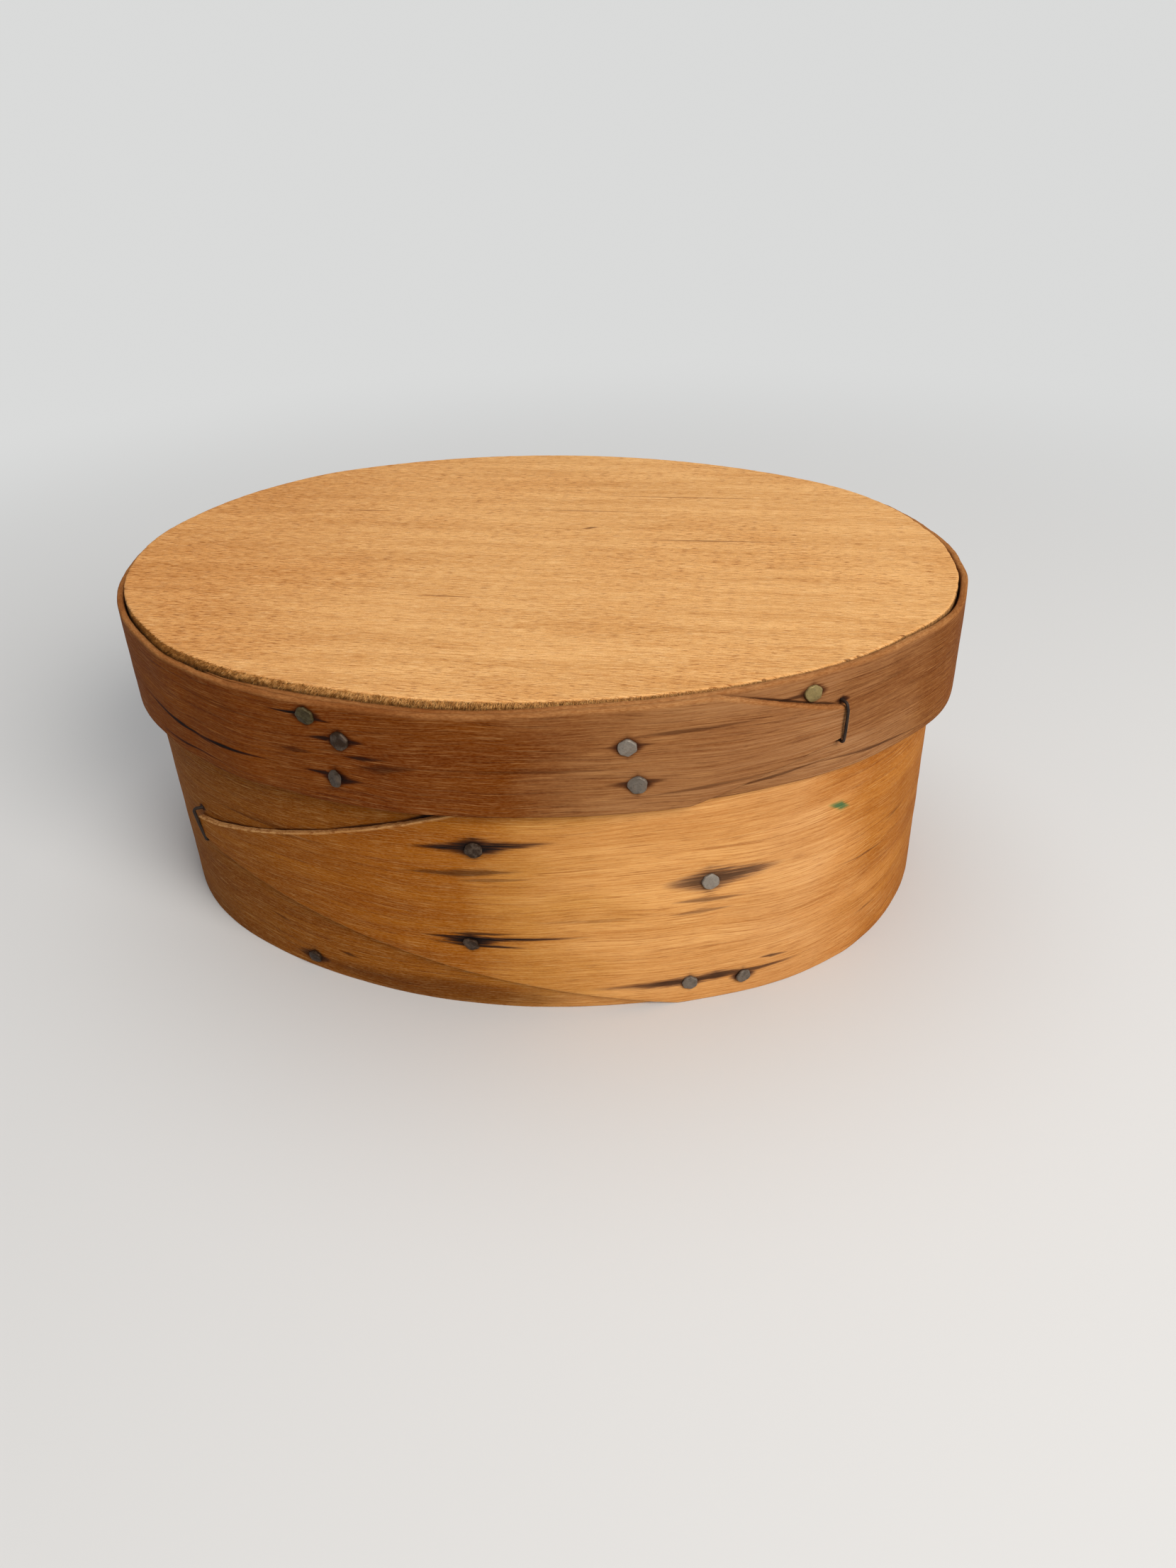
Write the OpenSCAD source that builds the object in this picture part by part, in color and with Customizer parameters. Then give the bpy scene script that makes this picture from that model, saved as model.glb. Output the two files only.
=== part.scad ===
// Oval bentwood box with a lift-off lid. Millimetres.
// The box stands on the XY plane with its middle at the origin. Its long axis is X, and the laps
// of both bands face -Y, the front.
//
// Places on the bands are given by s, the distance along the bend from the middle of the front,
// positive to the right, and by out, the distance outside the mould that the side was bent round.

/* [Mould] */
// Length inside the side band
inside_l = 229; // [205:1:260]
// Width inside the side band
inside_w = 169; // [160:1:185]
// Radius of the inside at both ends
end_r = 74; // [66:0.5:78]

/* [Side band] */
// Height of the side band
side_h = 87.5; // [75:0.5:110]
// Thickness of the side strip
side_t = 1.6; // [1.3:0.05:2]
// Where the side strip begins, under the lap
side_start = 100; // [98:1:110]
// Where the tip of its finger ends
side_tip = -92; // [-100:1:-84]
// Where its finger reaches the upper edge of the band
side_root_top = 64; // [50:1:66]
// Where its finger reaches the lower edge of the band
side_root_foot = 51; // [40:1:58]
// Height of the middle of the finger's tip as a share of the side below the lid
side_tip_share = 0.53; // [0.4:0.01:0.6]
// Height of the blunt end of the finger
side_tip_h = 6; // [5:0.1:6.6]

/* [Lid band] */
// Height of the lid band
rim_h = 27.5; // [24:0.5:34]
// Thickness of the lid strip
rim_t = 1.8; // [1.6:0.05:2.2]
// Where the lid strip begins, under the lap
rim_start = -66; // [-76:1:-66]
// Where the tip of its finger ends
rim_tip = 91.5; // [88:0.5:98]
// Where its finger reaches the upper edge of the band
rim_root_top = 59; // [52:1:62]
// Where its finger reaches the lower edge of the band
rim_root_foot = 53; // [50:1:62]
// Height of the middle of the finger's tip as a share of the lid band
rim_tip_share = 0.555; // [0.5:0.005:0.58]
// Height of the blunt end of the finger
rim_tip_h = 8; // [6:0.1:8.2]

/* [Boards] */
// Thickness of the base board
base_t = 8.5; // [7.5:0.1:10]
// Thickness of the lid board
lid_t = 8; // [7.5:0.1:10]
// How far the lid board stands above its band
lid_proud = 2; // [0.5:0.1:3]

/* [Clearances] */
// Between the two layers of a lap
lap_gap = 0.1; // [0.05:0.01:0.2]
// Between the side lap and the lid band that slides over it
lid_gap = 0.35; // [0.3:0.05:1]
// Between a board's edge and its band
board_gap = 0.15; // [0.1:0.05:0.3]
// Round a tack, nail or staple in the wood
shank_gap = 0.05; // [0.03:0.01:0.1]

/* [Laps] */
// Length over which the buried end of a strip is thinned
feather_l = 28; // [18:1:28]
// Thickness that is left at the buried end
feather_t = 0.3; // [0.2:0.05:0.6]
// Length before that end over which the outer layer starts to rise
lead_l = 10; // [6:1:16]
// How much the edges of the fingers curve, with 1 for straight
finger_bow = 1.06; // [1:0.02:1.3]
// How much the upper edge of the side's finger curves
side_top_bow = 1.18; // [1:0.02:1.4]

/* [Tacks and nails] */
// Radius of a tack's head
tack_head_r = 2.35; // [2:0.05:2.6]
// Radius of a nail's head
nail_head_r = 2.15; // [1.8:0.05:2.4]
// Height of the heads
head_h = 0.9; // [0.6:0.05:1.2]
// Radius of the shanks
shank_r = 0.7; // [0.5:0.05:0.8]
// Radius of a tack's clinched point
clinch_r = 0.45; // [0.35:0.05:0.55]
// Length of a tack's clinched point
clinch_l = 3; // [2:0.1:4]
// Length of a nail below its head
nail_l = 15; // [11:0.5:20]
// Nails that hold each board along the back
back_nails = 3; // [2:1:5]
// Distance between them
back_pitch = 62; // [45:1:75]

/* [Staples] */
// Radius of the wire
wire_r = 0.4; // [0.3:0.02:0.5]
// Distance between the legs
staple_h = 10.8; // [10:0.1:12]
// Radius of the wire's bends
wire_bend_r = 1; // [0.8:0.05:1.4]
// Distance of the staple from the end of the finger
staple_inset = 1.4; // [1:0.1:2]
// Clearance between the wire and the finger that it holds down
wire_gap = 0.1; // [0.05:0.05:0.4]

/* [Places of the tacks] */
// Upper tack of the side lap, in s
side_upper_s = 1.1; // [-10:0.1:10]
// Its height as a share of the side below the lid
side_upper_share = 0.8; // [0.74:0.01:0.84]
// Lower tack of the side lap, in s
side_lower_s = -2.2; // [-10:0.1:10]
// Its height as a share of the side below the lid
side_lower_share = 0.345; // [0.3:0.01:0.4]
// Right tack of the side lap, in s
side_right_s = 59; // [50:0.5:66]
// Its height as a share of the side below the lid
side_right_share = 0.605; // [0.5:0.01:0.7]
// Upper left tack of the lid lap, in s
rim_upper_left_s = -27; // [-30:0.5:-20]
// Upper right tack of the lid lap, in s
rim_upper_right_s = 38.6; // [30:0.1:45]
// Height of the upper left tack as a share of the lid band
rim_upper_left_share = 0.64; // [0.58:0.01:0.66]
// Height of the upper right tack as a share of the lid band
rim_upper_right_share = 0.68; // [0.58:0.01:0.7]
// Lower left tack of the lid lap, in s
rim_lower_left_s = -29.6; // [-33:0.1:-20]
// Lower right tack of the lid lap, in s
rim_lower_right_s = 40.7; // [30:0.1:45]
// Height of the lower left tack as a share of the lid band
rim_lower_left_share = 0.245; // [0.2:0.005:0.32]
// Height of the lower right tack as a share of the lid band
rim_lower_right_share = 0.305; // [0.2:0.005:0.34]

/* [Places of the nails] */
// Left base nail, in s
base_left_s = -52.6; // [-60:0.1:-45]
// Middle base nail, in s
base_mid_s = 54; // [45:0.5:58]
// Right base nail, in s
base_right_s = 68.6; // [65:0.1:70]
// Height of the left base nail as a share of the base board
base_left_share = 0.42; // [0.35:0.01:0.7]
// Height of the middle base nail as a share of the base board
base_mid_share = 0.8; // [0.4:0.01:0.8]
// Height of the right base nail as a share of the base board
base_right_share = 0.67; // [0.4:0.01:0.75]
// Left lid nail, in s
lid_left_s = -35.2; // [-36:0.1:-32]
// Right lid nail, in s
lid_right_s = 82.4; // [80:0.1:84]
// Height of the left lid nail as a share of the lid board
lid_left_share = 0.2; // [0.2:0.01:0.35]
// Height of the right lid nail as a share of the lid board
lid_right_share = 0.39; // [0.36:0.01:0.42]
// Height of the nails along the back as a share of each board
back_share = 0.4; // [0.3:0.01:0.6]

/* [Hidden] */
$fn = 48;

// The mould is an oval of four arcs that meet tangent to each other.
half_l = inside_l / 2;
half_w = inside_w / 2;
end_x = half_l - end_r;
flank_r = (half_l * half_l + half_w * half_w - 2 * half_l * end_r) / (2 * (half_w - end_r));
flank_y = flank_r - half_w;
join_a = atan2(end_x, flank_y);
flank_s = flank_r * join_a * PI / 180;
end_s = end_r * (180 - 2 * join_a) * PI / 180;
round_s = 4 * flank_s + 2 * end_s;
// Longest stretch of a bend that is drawn as one flat
flat_s = 3;

// The lid band slides over the side lap, and the lid board lies on the rim of the side.
rim_out = 2 * side_t + lap_gap + lid_gap;
rim_z = side_h + lid_t - lid_proud - rim_h;

// How far one thing reaches into the air so that a cut through wood is clean
over = 1;
// Depth of a clinched point below the face that it is bedded in
bed = 0.1;

// Strips: each is [direction of travel, start, tip, thickness, out of its inner face].
side_strip = [-1, side_start, side_tip, side_t, 0];
rim_strip = [1, rim_start, rim_tip, rim_t, rim_out];
side_tip_z = rim_z * side_tip_share;
rim_tip_z = rim_z + rim_h * rim_tip_share;

// Places of the fasteners: each is [s, out, z]. Tacks and the nails in a lap sit on the outer
// layer, and the left base nail and the right lid nail on the single layer beside a finger.
side_upper = [side_upper_s, lap_face(side_strip, side_upper_s), rim_z * side_upper_share];
side_lower = [side_lower_s, lap_face(side_strip, side_lower_s), rim_z * side_lower_share];
side_right = [side_right_s, lap_face(side_strip, side_right_s), rim_z * side_right_share];
base_left = [base_left_s, lone_face(side_strip), base_t * base_left_share];
base_mid = [base_mid_s, lap_face(side_strip, base_mid_s), base_t * base_mid_share];
base_right = [base_right_s, lap_face(side_strip, base_right_s), base_t * base_right_share];
rim_upper_left = rim_place(rim_upper_left_s, rim_upper_left_share);
rim_upper_right = rim_place(rim_upper_right_s, rim_upper_right_share);
rim_lower_left = rim_place(rim_lower_left_s, rim_lower_left_share);
rim_lower_right = rim_place(rim_lower_right_s, rim_lower_right_share);
lid_left = [lid_left_s, lap_face(rim_strip, lid_left_s), side_h + lid_t * lid_left_share];
lid_right = [lid_right_s, lone_face(rim_strip), side_h + lid_t * lid_right_share];
base_back = [for (s = back_s()) [s, lone_face(side_strip), base_t * back_share]];
lid_back = [for (s = back_s()) [s, lone_face(rim_strip), side_h + lid_t * back_share]];

function rim_place(s, share) = [s, lap_face(rim_strip, s), rim_z + rim_h * share];
function back_s() =
    [for (i = [0 : back_nails - 1]) round_s / 2 + (i - (back_nails - 1) / 2) * back_pitch];

// --- The oval ---

// The same place on the mould, brought within half a round of the middle of the front
function wrap(s) = s - round_s * floor(s / round_s + 0.5);

// Middle of the arc at s: its x and y, its radius, and the direction of its outward normal
function right_arc(s) =
    s <= flank_s ? [0, flank_y, flank_r, -90 + s / flank_r * 180 / PI]
    : s <= flank_s + end_s ? [end_x, 0, end_r, -90 + join_a + (s - flank_s) / end_r * 180 / PI]
    : [0, -flank_y, flank_r, 90 - join_a + (s - flank_s - end_s) / flank_r * 180 / PI];
function mirrored(arc) = [-arc[0], arc[1], arc[2], 180 - arc[3]];
function arc_at(s) = let (w = wrap(s)) w < 0 ? mirrored(right_arc(-w)) : right_arc(w);

function on_oval(s, out) =
    let (arc = arc_at(s)) [
        arc[0] + (arc[2] + out) * cos(arc[3]),
        arc[1] + (arc[2] + out) * sin(arc[3]),
    ];

module oval(out) {
    flats = ceil(round_s / flat_s);
    polygon([for (i = [0 : flats - 1]) on_oval(i * round_s / flats, out)]);
}

// --- Strips ---

function ease(k) = k <= 0 ? 0 : k >= 1 ? 1 : k * k * (3 - 2 * k);
function strip_l(strip) = round_s + strip[0] * (strip[2] - strip[1]);
function strip_s(strip, u) = strip[1] + strip[0] * u;

// Thickness after u of travel: the buried end is thinned
function strip_thick(strip, u) = feather_t + (strip[3] - feather_t) * ease(u / feather_l);

// Rise of the inner face after u of travel: past one round, the strip lies on its own start
function strip_rise(strip, u) =
    u < round_s ? (feather_t + lap_gap) * ease((u - round_s + lead_l) / lead_l)
    : lap_gap + strip_thick(strip, u - round_s);

// Distance outside the mould of the face of a single layer, and of the lap at s
function lone_face(strip) = strip[4] + strip[3];
function lap_face(strip, s) = lone_face(strip) + strip_rise(strip, round_s + strip[0] * (s - strip[1]));

module strip_plan(strip) {
    flats = ceil(strip_l(strip) / flat_s);
    travel = [for (i = [0 : flats]) i * strip_l(strip) / flats];
    inner = [for (u = travel) on_oval(strip_s(strip, u), strip[4] + strip_rise(strip, u))];
    outer = [
        for (i = [flats : -1 : 0])
            let (u = travel[i], face = strip[4] + strip_rise(strip, u))
            on_oval(strip_s(strip, u), face + strip_thick(strip, u))
    ];
    polygon(concat(inner, outer));
}

// Wood beside the finger, which is cut from the outer layer only. far is the height of the
// band's edge, near the height of the finger's edge at its tip, and root where the two meet.
module beside_finger(strip, root, near, far, bow) {
    steps = 24;
    face = lone_face(strip) + lap_gap / 2;
    past = strip[2] + strip[0] * over;
    away = far + sign(far - near) * over;
    edge = [
        for (i = [0 : steps])
            let (k = i / steps, s = strip[2] + (root - strip[2]) * k)
            [on_oval(s, face)[0], near + (far - near) * pow(k, bow)]
    ];
    difference() {
        rotate([90, 0, 0])
            linear_extrude(height = half_w + face + 4 * strip[3])
                polygon(concat(
                    [[on_oval(past, face)[0], near]],
                    edge,
                    [[on_oval(root, face)[0], away], [on_oval(past, face)[0], away]]
                ));
        translate([0, 0, min(near, far) - 2 * over])
            linear_extrude(height = abs(far - near) + 4 * over)
                oval(face);
    }
}

// --- Fasteners: outward is +Z, up is +Y, and the wood's face is at Z = 0 ---

module at_face(place) {
    arc = arc_at(place[0]);
    translate([arc[0], arc[1], place[2]])
        rotate([0, 0, arc[3]])
            translate([arc[2] + place[1], 0, 0])
                rotate([90, 0, 90])
                    children();
}

module head(r) {
    rotate_extrude()
        polygon([
            [0, 0],
            [r * 0.96, 0],
            [r, head_h * 0.3],
            [r * 0.9, head_h * 0.72],
            [r * 0.62, head_h * 0.95],
            [0, head_h],
        ]);
}

// Shank through wood that is deep, with its point bent over and bedded flush with the far face
module tack_shank(deep, gap = 0) {
    r = clinch_r + gap;
    z = -deep + clinch_r + bed;
    translate([0, 0, z])
        cylinder(r = shank_r + gap, h = -z + head_h / 2);
    translate([0, 0, z])
        sphere(r = shank_r + gap);
    translate([0, 0, z])
        rotate([0, 90, 0])
            cylinder(r = r, h = clinch_l + gap);
}

// What a tack takes out of the wood
module tack_hole(deep) {
    wide = clinch_r + shank_gap;
    tack_shank(deep, shank_gap);
    translate([0, -wide, -deep - over])
        cube([clinch_l + shank_gap, 2 * wide, over + clinch_r + bed]);
    translate([0, 0, -deep - over])
        cylinder(r = shank_r + shank_gap, h = over + clinch_r + bed);
}

module nail_shank(gap = 0) {
    point = 3 * shank_r;
    translate([0, 0, point - nail_l])
        cylinder(r = shank_r + gap, h = nail_l - point + head_h / 2);
    translate([0, 0, -nail_l])
        cylinder(r1 = 0.1 + gap, r2 = shank_r + gap, h = point);
}

module tack(strip, place) {
    at_face(place) {
        head(tack_head_r);
        tack_shank(place[1] - strip[4]);
    }
}

module tack_cut(strip, place) {
    at_face(place)
        tack_hole(place[1] - strip[4]);
}

module nail(place) {
    at_face(place) {
        head(nail_head_r);
        nail_shank();
    }
}

module nail_cuts(places) {
    for (place = places)
        at_face(place)
            nail_shank(shank_gap);
}

// One leg and half the crown of a staple. crown is the height of the wire's middle over the
// single layer, and deep the thickness of that layer.
module half_staple(crown, deep, gap = 0) {
    r = wire_r + gap;
    leg = staple_h / 2;
    tail = -deep + wire_r + bed;
    translate([0, 0, crown])
        rotate([-90, 0, 0])
            cylinder(r = r, h = leg - wire_bend_r);
    translate([0, leg - wire_bend_r, crown - wire_bend_r])
        rotate([90, 0, 90])
            rotate_extrude(angle = 90)
                translate([wire_bend_r, 0])
                    circle(r = r);
    translate([0, leg, tail])
        cylinder(r = r, h = crown - wire_bend_r - tail);
    translate([0, leg, tail])
        sphere(r = r);
    translate([0, leg, tail])
        rotate([90, 0, 0])
            cylinder(r = r, h = clinch_l + gap);
}

module staple(crown, deep, gap = 0) {
    half_staple(crown, deep, gap);
    mirror([0, 1, 0])
        half_staple(crown, deep, gap);
}

function staple_place(strip, z) = [strip[2] - strip[0] * staple_inset, lone_face(strip), z];

module band_staple(strip, z) {
    at_face(staple_place(strip, z))
        staple(strip[3] + lap_gap + wire_r + wire_gap, strip[3]);
}

// What a staple takes out of the single layer: two holes and the pockets of its bent ends
module staple_cut(strip, z) {
    wide = wire_r + shank_gap;
    at_face(staple_place(strip, z))
        for (side = [0, 1])
            mirror([0, side, 0]) {
                translate([0, staple_h / 2, -strip[3] - over])
                    cylinder(r = wide, h = strip[3] + 2 * over);
                translate([-wide, staple_h / 2 - clinch_l - shank_gap, -strip[3] - over])
                    cube([2 * wide, clinch_l + shank_gap, over + 2 * wire_r + bed + shank_gap]);
            }
}

// --- The box ---

module base_board() {
    color("burlywood")
        difference() {
            linear_extrude(height = base_t)
                oval(-board_gap);
            nail_cuts(concat([base_left, base_mid, base_right], base_back));
        }
}

module side_band() {
    color("peru")
        difference() {
            linear_extrude(height = side_h)
                strip_plan(side_strip);
            beside_finger(
                side_strip, side_root_top, side_tip_z + side_tip_h / 2, side_h, side_top_bow
            );
            beside_finger(side_strip, side_root_foot, side_tip_z - side_tip_h / 2, 0, finger_bow);
            tack_cut(side_strip, side_upper);
            tack_cut(side_strip, side_lower);
            tack_cut(side_strip, side_right);
            nail_cuts(concat([base_left, base_mid, base_right], base_back));
            staple_cut(side_strip, side_tip_z);
        }
}

module side_staple() {
    color("dimgray")
        band_staple(side_strip, side_tip_z);
}

module side_tack_upper() {
    color("dimgray")
        tack(side_strip, side_upper);
}

module side_tack_lower() {
    color("dimgray")
        tack(side_strip, side_lower);
}

module side_tack_right() {
    color("dimgray")
        tack(side_strip, side_right);
}

module base_nail_left() {
    color("dimgray")
        nail(base_left);
}

module base_nail_middle() {
    color("dimgray")
        nail(base_mid);
}

module base_nail_right() {
    color("dimgray")
        nail(base_right);
}

module base_nails_back() {
    color("dimgray")
        for (place = base_back)
            nail(place);
}

// --- The lid ---

module lid_board() {
    color("navajowhite")
        difference() {
            translate([0, 0, side_h])
                linear_extrude(height = lid_t)
                    oval(rim_out - board_gap);
            nail_cuts(concat([lid_left, lid_right], lid_back));
        }
}

module lid_band() {
    color("sienna")
        difference() {
            translate([0, 0, rim_z])
                linear_extrude(height = rim_h)
                    strip_plan(rim_strip);
            beside_finger(
                rim_strip, rim_root_top, rim_tip_z + rim_tip_h / 2, rim_z + rim_h, finger_bow
            );
            beside_finger(rim_strip, rim_root_foot, rim_tip_z - rim_tip_h / 2, rim_z, finger_bow);
            tack_cut(rim_strip, rim_upper_left);
            tack_cut(rim_strip, rim_upper_right);
            tack_cut(rim_strip, rim_lower_left);
            tack_cut(rim_strip, rim_lower_right);
            nail_cuts(concat([lid_left, lid_right], lid_back));
            staple_cut(rim_strip, rim_tip_z);
        }
}

module lid_staple() {
    color("dimgray")
        band_staple(rim_strip, rim_tip_z);
}

module lid_tack_upper_left() {
    color("dimgray")
        tack(rim_strip, rim_upper_left);
}

module lid_tack_lower_left() {
    color("dimgray")
        tack(rim_strip, rim_lower_left);
}

module lid_tack_upper_right() {
    color("dimgray")
        tack(rim_strip, rim_upper_right);
}

module lid_tack_lower_right() {
    color("dimgray")
        tack(rim_strip, rim_lower_right);
}

module lid_nail_left() {
    color("darkgoldenrod")
        nail(lid_left);
}

module lid_nail_right() {
    color("darkgoldenrod")
        nail(lid_right);
}

module lid_nails_back() {
    color("darkgoldenrod")
        for (place = lid_back)
            nail(place);
}

base_board();
side_band();
side_staple();
side_tack_upper();
side_tack_lower();
side_tack_right();
base_nail_left();
base_nail_middle();
base_nail_right();
base_nails_back();
lid_board();
lid_band();
lid_staple();
lid_tack_upper_left();
lid_tack_lower_left();
lid_tack_upper_right();
lid_tack_lower_right();
lid_nail_left();
lid_nail_right();
lid_nails_back();
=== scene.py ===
# The looks of an oval bentwood box with a lift-off lid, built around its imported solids.
# Lengths in the dictionaries are millimetres. Places on the bands are given by s, the distance
# along the bend from the middle of the front, positive to the right, and by z, the height.
import math

import bpy
import numpy as np
from mathutils import Matrix, Vector


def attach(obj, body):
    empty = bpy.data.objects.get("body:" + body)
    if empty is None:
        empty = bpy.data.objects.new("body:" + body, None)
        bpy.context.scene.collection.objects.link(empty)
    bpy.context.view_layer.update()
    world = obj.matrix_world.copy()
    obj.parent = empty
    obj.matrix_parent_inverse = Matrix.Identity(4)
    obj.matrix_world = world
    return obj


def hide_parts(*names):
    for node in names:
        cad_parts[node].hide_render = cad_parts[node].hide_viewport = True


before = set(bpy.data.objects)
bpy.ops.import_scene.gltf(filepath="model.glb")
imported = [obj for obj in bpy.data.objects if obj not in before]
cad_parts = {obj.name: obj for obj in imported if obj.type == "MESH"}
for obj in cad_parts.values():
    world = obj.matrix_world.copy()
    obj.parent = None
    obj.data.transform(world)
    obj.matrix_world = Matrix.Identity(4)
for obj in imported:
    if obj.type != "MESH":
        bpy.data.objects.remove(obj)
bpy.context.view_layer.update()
print("frame loaded:", len(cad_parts), "nodes")

mm = 0.001

mould = {"halfLength": 114.5, "halfWidth": 84.5, "endRadius": 74.0}
endX = mould["halfLength"] - mould["endRadius"]
flankR = (
    mould["halfLength"] ** 2 + mould["halfWidth"] ** 2 - 2 * mould["halfLength"] * mould["endRadius"]
) / (2 * (mould["halfWidth"] - mould["endRadius"]))
flankY = flankR - mould["halfWidth"]
joinAngle = math.atan2(endX, flankY)
flankS = flankR * joinAngle
endS = mould["endRadius"] * (math.pi - 2 * joinAngle)
roundS = 4 * flankS + 2 * endS


# The mould is four arcs that meet tangent: the front and back arcs turn about points on the Y
# axis, the end arcs about points on the X axis. A place is hub + (radius + out) * normal, and the
# two numbers after it are the outward normal.
def onOval(s, out):
    s, out = np.broadcast_arrays(np.asarray(s, float), np.asarray(out, float))
    w = (s + roundS / 2) % roundS - roundS / 2
    a, side = np.abs(w), np.where(w < 0, -1.0, 1.0)
    front, end = a <= flankS, (a > flankS) & (a <= flankS + endS)
    angle = np.where(
        front,
        -math.pi / 2 + a / flankR,
        np.where(
            end,
            -math.pi / 2 + joinAngle + (a - flankS) / mould["endRadius"],
            math.pi / 2 - joinAngle + (a - flankS - endS) / flankR,
        ),
    )
    radius = np.where(end, mould["endRadius"], flankR) + out
    x = np.where(end, endX, 0.0) + radius * np.cos(angle)
    y = np.where(front, flankY, np.where(end, 0.0, -flankY)) + radius * np.sin(angle)
    return side * x, y, side * np.cos(angle), np.sin(angle)


# A smooth step, flat at both ends: k * k * (3 - 2 * k), with k held between 0 and 1
def ease(k):
    k = np.clip(k, 0.0, 1.0)
    return k * k * (3 - 2 * k)


# A smooth closed curve through given points (s, value): each gap is bridged with ease
def around(s, points):
    points = sorted(points)
    at = np.array([p[0] for p in points], float)
    value = np.array([p[1] for p in points], float)
    at = np.concatenate([[at[-1] - roundS], at, [at[0] + roundS]])
    value = np.concatenate([[value[-1]], value, [value[0]]])
    w = (np.asarray(s, float) + roundS / 2) % roundS - roundS / 2
    w = np.where(w < at[0], w + roundS, w)
    i = np.clip(np.searchsorted(at, w, side="right") - 1, 0, len(at) - 2)
    return value[i] + (value[i + 1] - value[i]) * ease((w - at[i]) / (at[i + 1] - at[i]))


# Irregular but repeatable ripple within about 1: five sines of unrelated lengths, shorter ones
# lower, with phases set by the seed
def ripple(t, length, seed):
    rng = np.random.default_rng(seed)
    t = np.asarray(t, float)
    total = np.zeros_like(t)
    for share in (1.0, 0.61, 0.37, 0.23, 0.14):
        total += share**0.7 * np.sin(2 * math.pi * t / (length * share) + rng.uniform(0, 6.28))
    return total / 2.6


# Puts points (mm) and faces into a mesh. The sum of a . (b x c) over the faces' triangles is six
# times the enclosed volume, and where it is negative the faces are turned outwards. The float or
# vector attributes are those that the piece's material reads.
def makePiece(name, points, faces, attributes=None, smooth=True):
    points = np.asarray(points, float).reshape(-1, 3)
    faces = [np.asarray(f, int) for f in faces if len(f)]
    volume = 0.0
    for f in faces:
        for k in range(1, f.shape[1] - 1):
            a, b, c = points[f[:, 0]], points[f[:, k]], points[f[:, k + 1]]
            volume += np.einsum("ij,ij->i", a, np.cross(b, c)).sum()
    polygons = []
    for f in faces:
        polygons += (f[:, ::-1] if volume < 0 else f).tolist()
    mesh = bpy.data.meshes.new(name)
    mesh.from_pydata((points * mm).tolist(), [], polygons)
    mesh.validate()
    for key, values in (attributes or {}).items():
        values = np.asarray(values, np.float32)
        kind = "FLOAT" if values.ndim == 1 else "FLOAT_VECTOR"
        layer = mesh.attributes.new(key, kind, "POINT")
        layer.data.foreach_set("value" if kind == "FLOAT" else "vector", values.ravel())
    mesh.polygons.foreach_set("use_smooth", np.full(len(mesh.polygons), smooth))
    mesh.update()
    piece = bpy.data.objects.new(name, mesh)
    bpy.context.scene.collection.objects.link(piece)
    return piece


# Quads between neighbouring rows of a skin whose rows are closed rings
def gridFaces(rows, cols):
    r, c = np.meshgrid(np.arange(rows - 1), np.arange(cols), indexing="ij")
    n = (c + 1) % cols
    quads = np.stack([r * cols + c, r * cols + n, (r + 1) * cols + n, (r + 1) * cols + c], -1)
    return quads.reshape(-1, 4)


# A round skin: rings (rows x cols x 3), closed by fans to the middle of its first and last ring
def ringSkin(rings):
    rows, cols = rings.shape[:2]
    c = np.arange(cols)
    n = (c + 1) % cols
    last = (rows - 1) * cols
    first = np.stack([np.full(cols, rows * cols), n, c], -1)
    close = np.stack([np.full(cols, rows * cols + 1), last + c, last + n], -1)
    points = np.concatenate([rings.reshape(-1, 3), rings[:1].mean(1), rings[-1:].mean(1)])
    return points, gridFaces(rows, cols), np.concatenate([first, close])


# Several closed skins as one set of points and faces
def joinSkins(skins):
    points, quads, triangles, total = [], [], [], 0
    for p, q, t in skins:
        points.append(p)
        quads.append(q + total)
        triangles.append(t + total)
        total += len(p)
    return np.concatenate(points), [np.concatenate(quads), np.concatenate(triangles)]


# A round wire: at each point of the path a ring of the given radius, square to the path. The
# rings keep their turn because each takes its side direction from the one before.
def wireSkin(path, radius, cols=12):
    path = np.asarray(path, float)
    along = np.gradient(path, axis=0)
    along /= np.linalg.norm(along, axis=1)[:, None]
    side = np.cross(along[0], [0.3, 0.2, 0.93])
    frames = []
    for direction in along:
        side = side - direction * (side @ direction)
        side /= np.linalg.norm(side)
        frames.append((side, np.cross(direction, side)))
    sides, ups = np.array(frames).transpose(1, 0, 2)
    turn = np.linspace(0, 2 * math.pi, cols, endpoint=False)
    radius = np.broadcast_to(np.asarray(radius, float), len(path))[:, None, None]
    rings = path[:, None] + radius * (
        np.cos(turn)[None, :, None] * sides[:, None] + np.sin(turn)[None, :, None] * ups[:, None]
    )
    return ringSkin(rings)


# A strip runs from s = start once round in its direction of travel and on to its tip. At the
# roots the finger's two edges leave the band's, and the bows are the powers of their curves.
# Lifts and bulges are pairs of s and distance, step and rows set the mesh, and worn is the width
# of the rubbed edge.
sideStrip = {
    "travel": -1, "start": 100, "tip": -92, "thick": 1.6, "base": 0.0,
    "low": 0.0, "high": 87.5, "tipMiddle": 35.0, "tipHeight": 6.0,
    "rootTop": 64, "rootFoot": 51, "bowTop": 1.18, "bowFoot": 1.06,
    "step": 1.6, "rows": 34, "round": 0.3, "worn": 0.25, "seed": 3,
    "lowBulge": [
        (-180, 0), (-100, 0.4), (-50, 0.8), (0, 0.9), (40, 0.5), (60, 0.3), (105, 0.5), (135, -0.5),
        (180, 0),
    ],
    "highBulge": [(0, 0)], "highLift": [(0, 0)], "lowLift": [(0, 0)],
}
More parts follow.
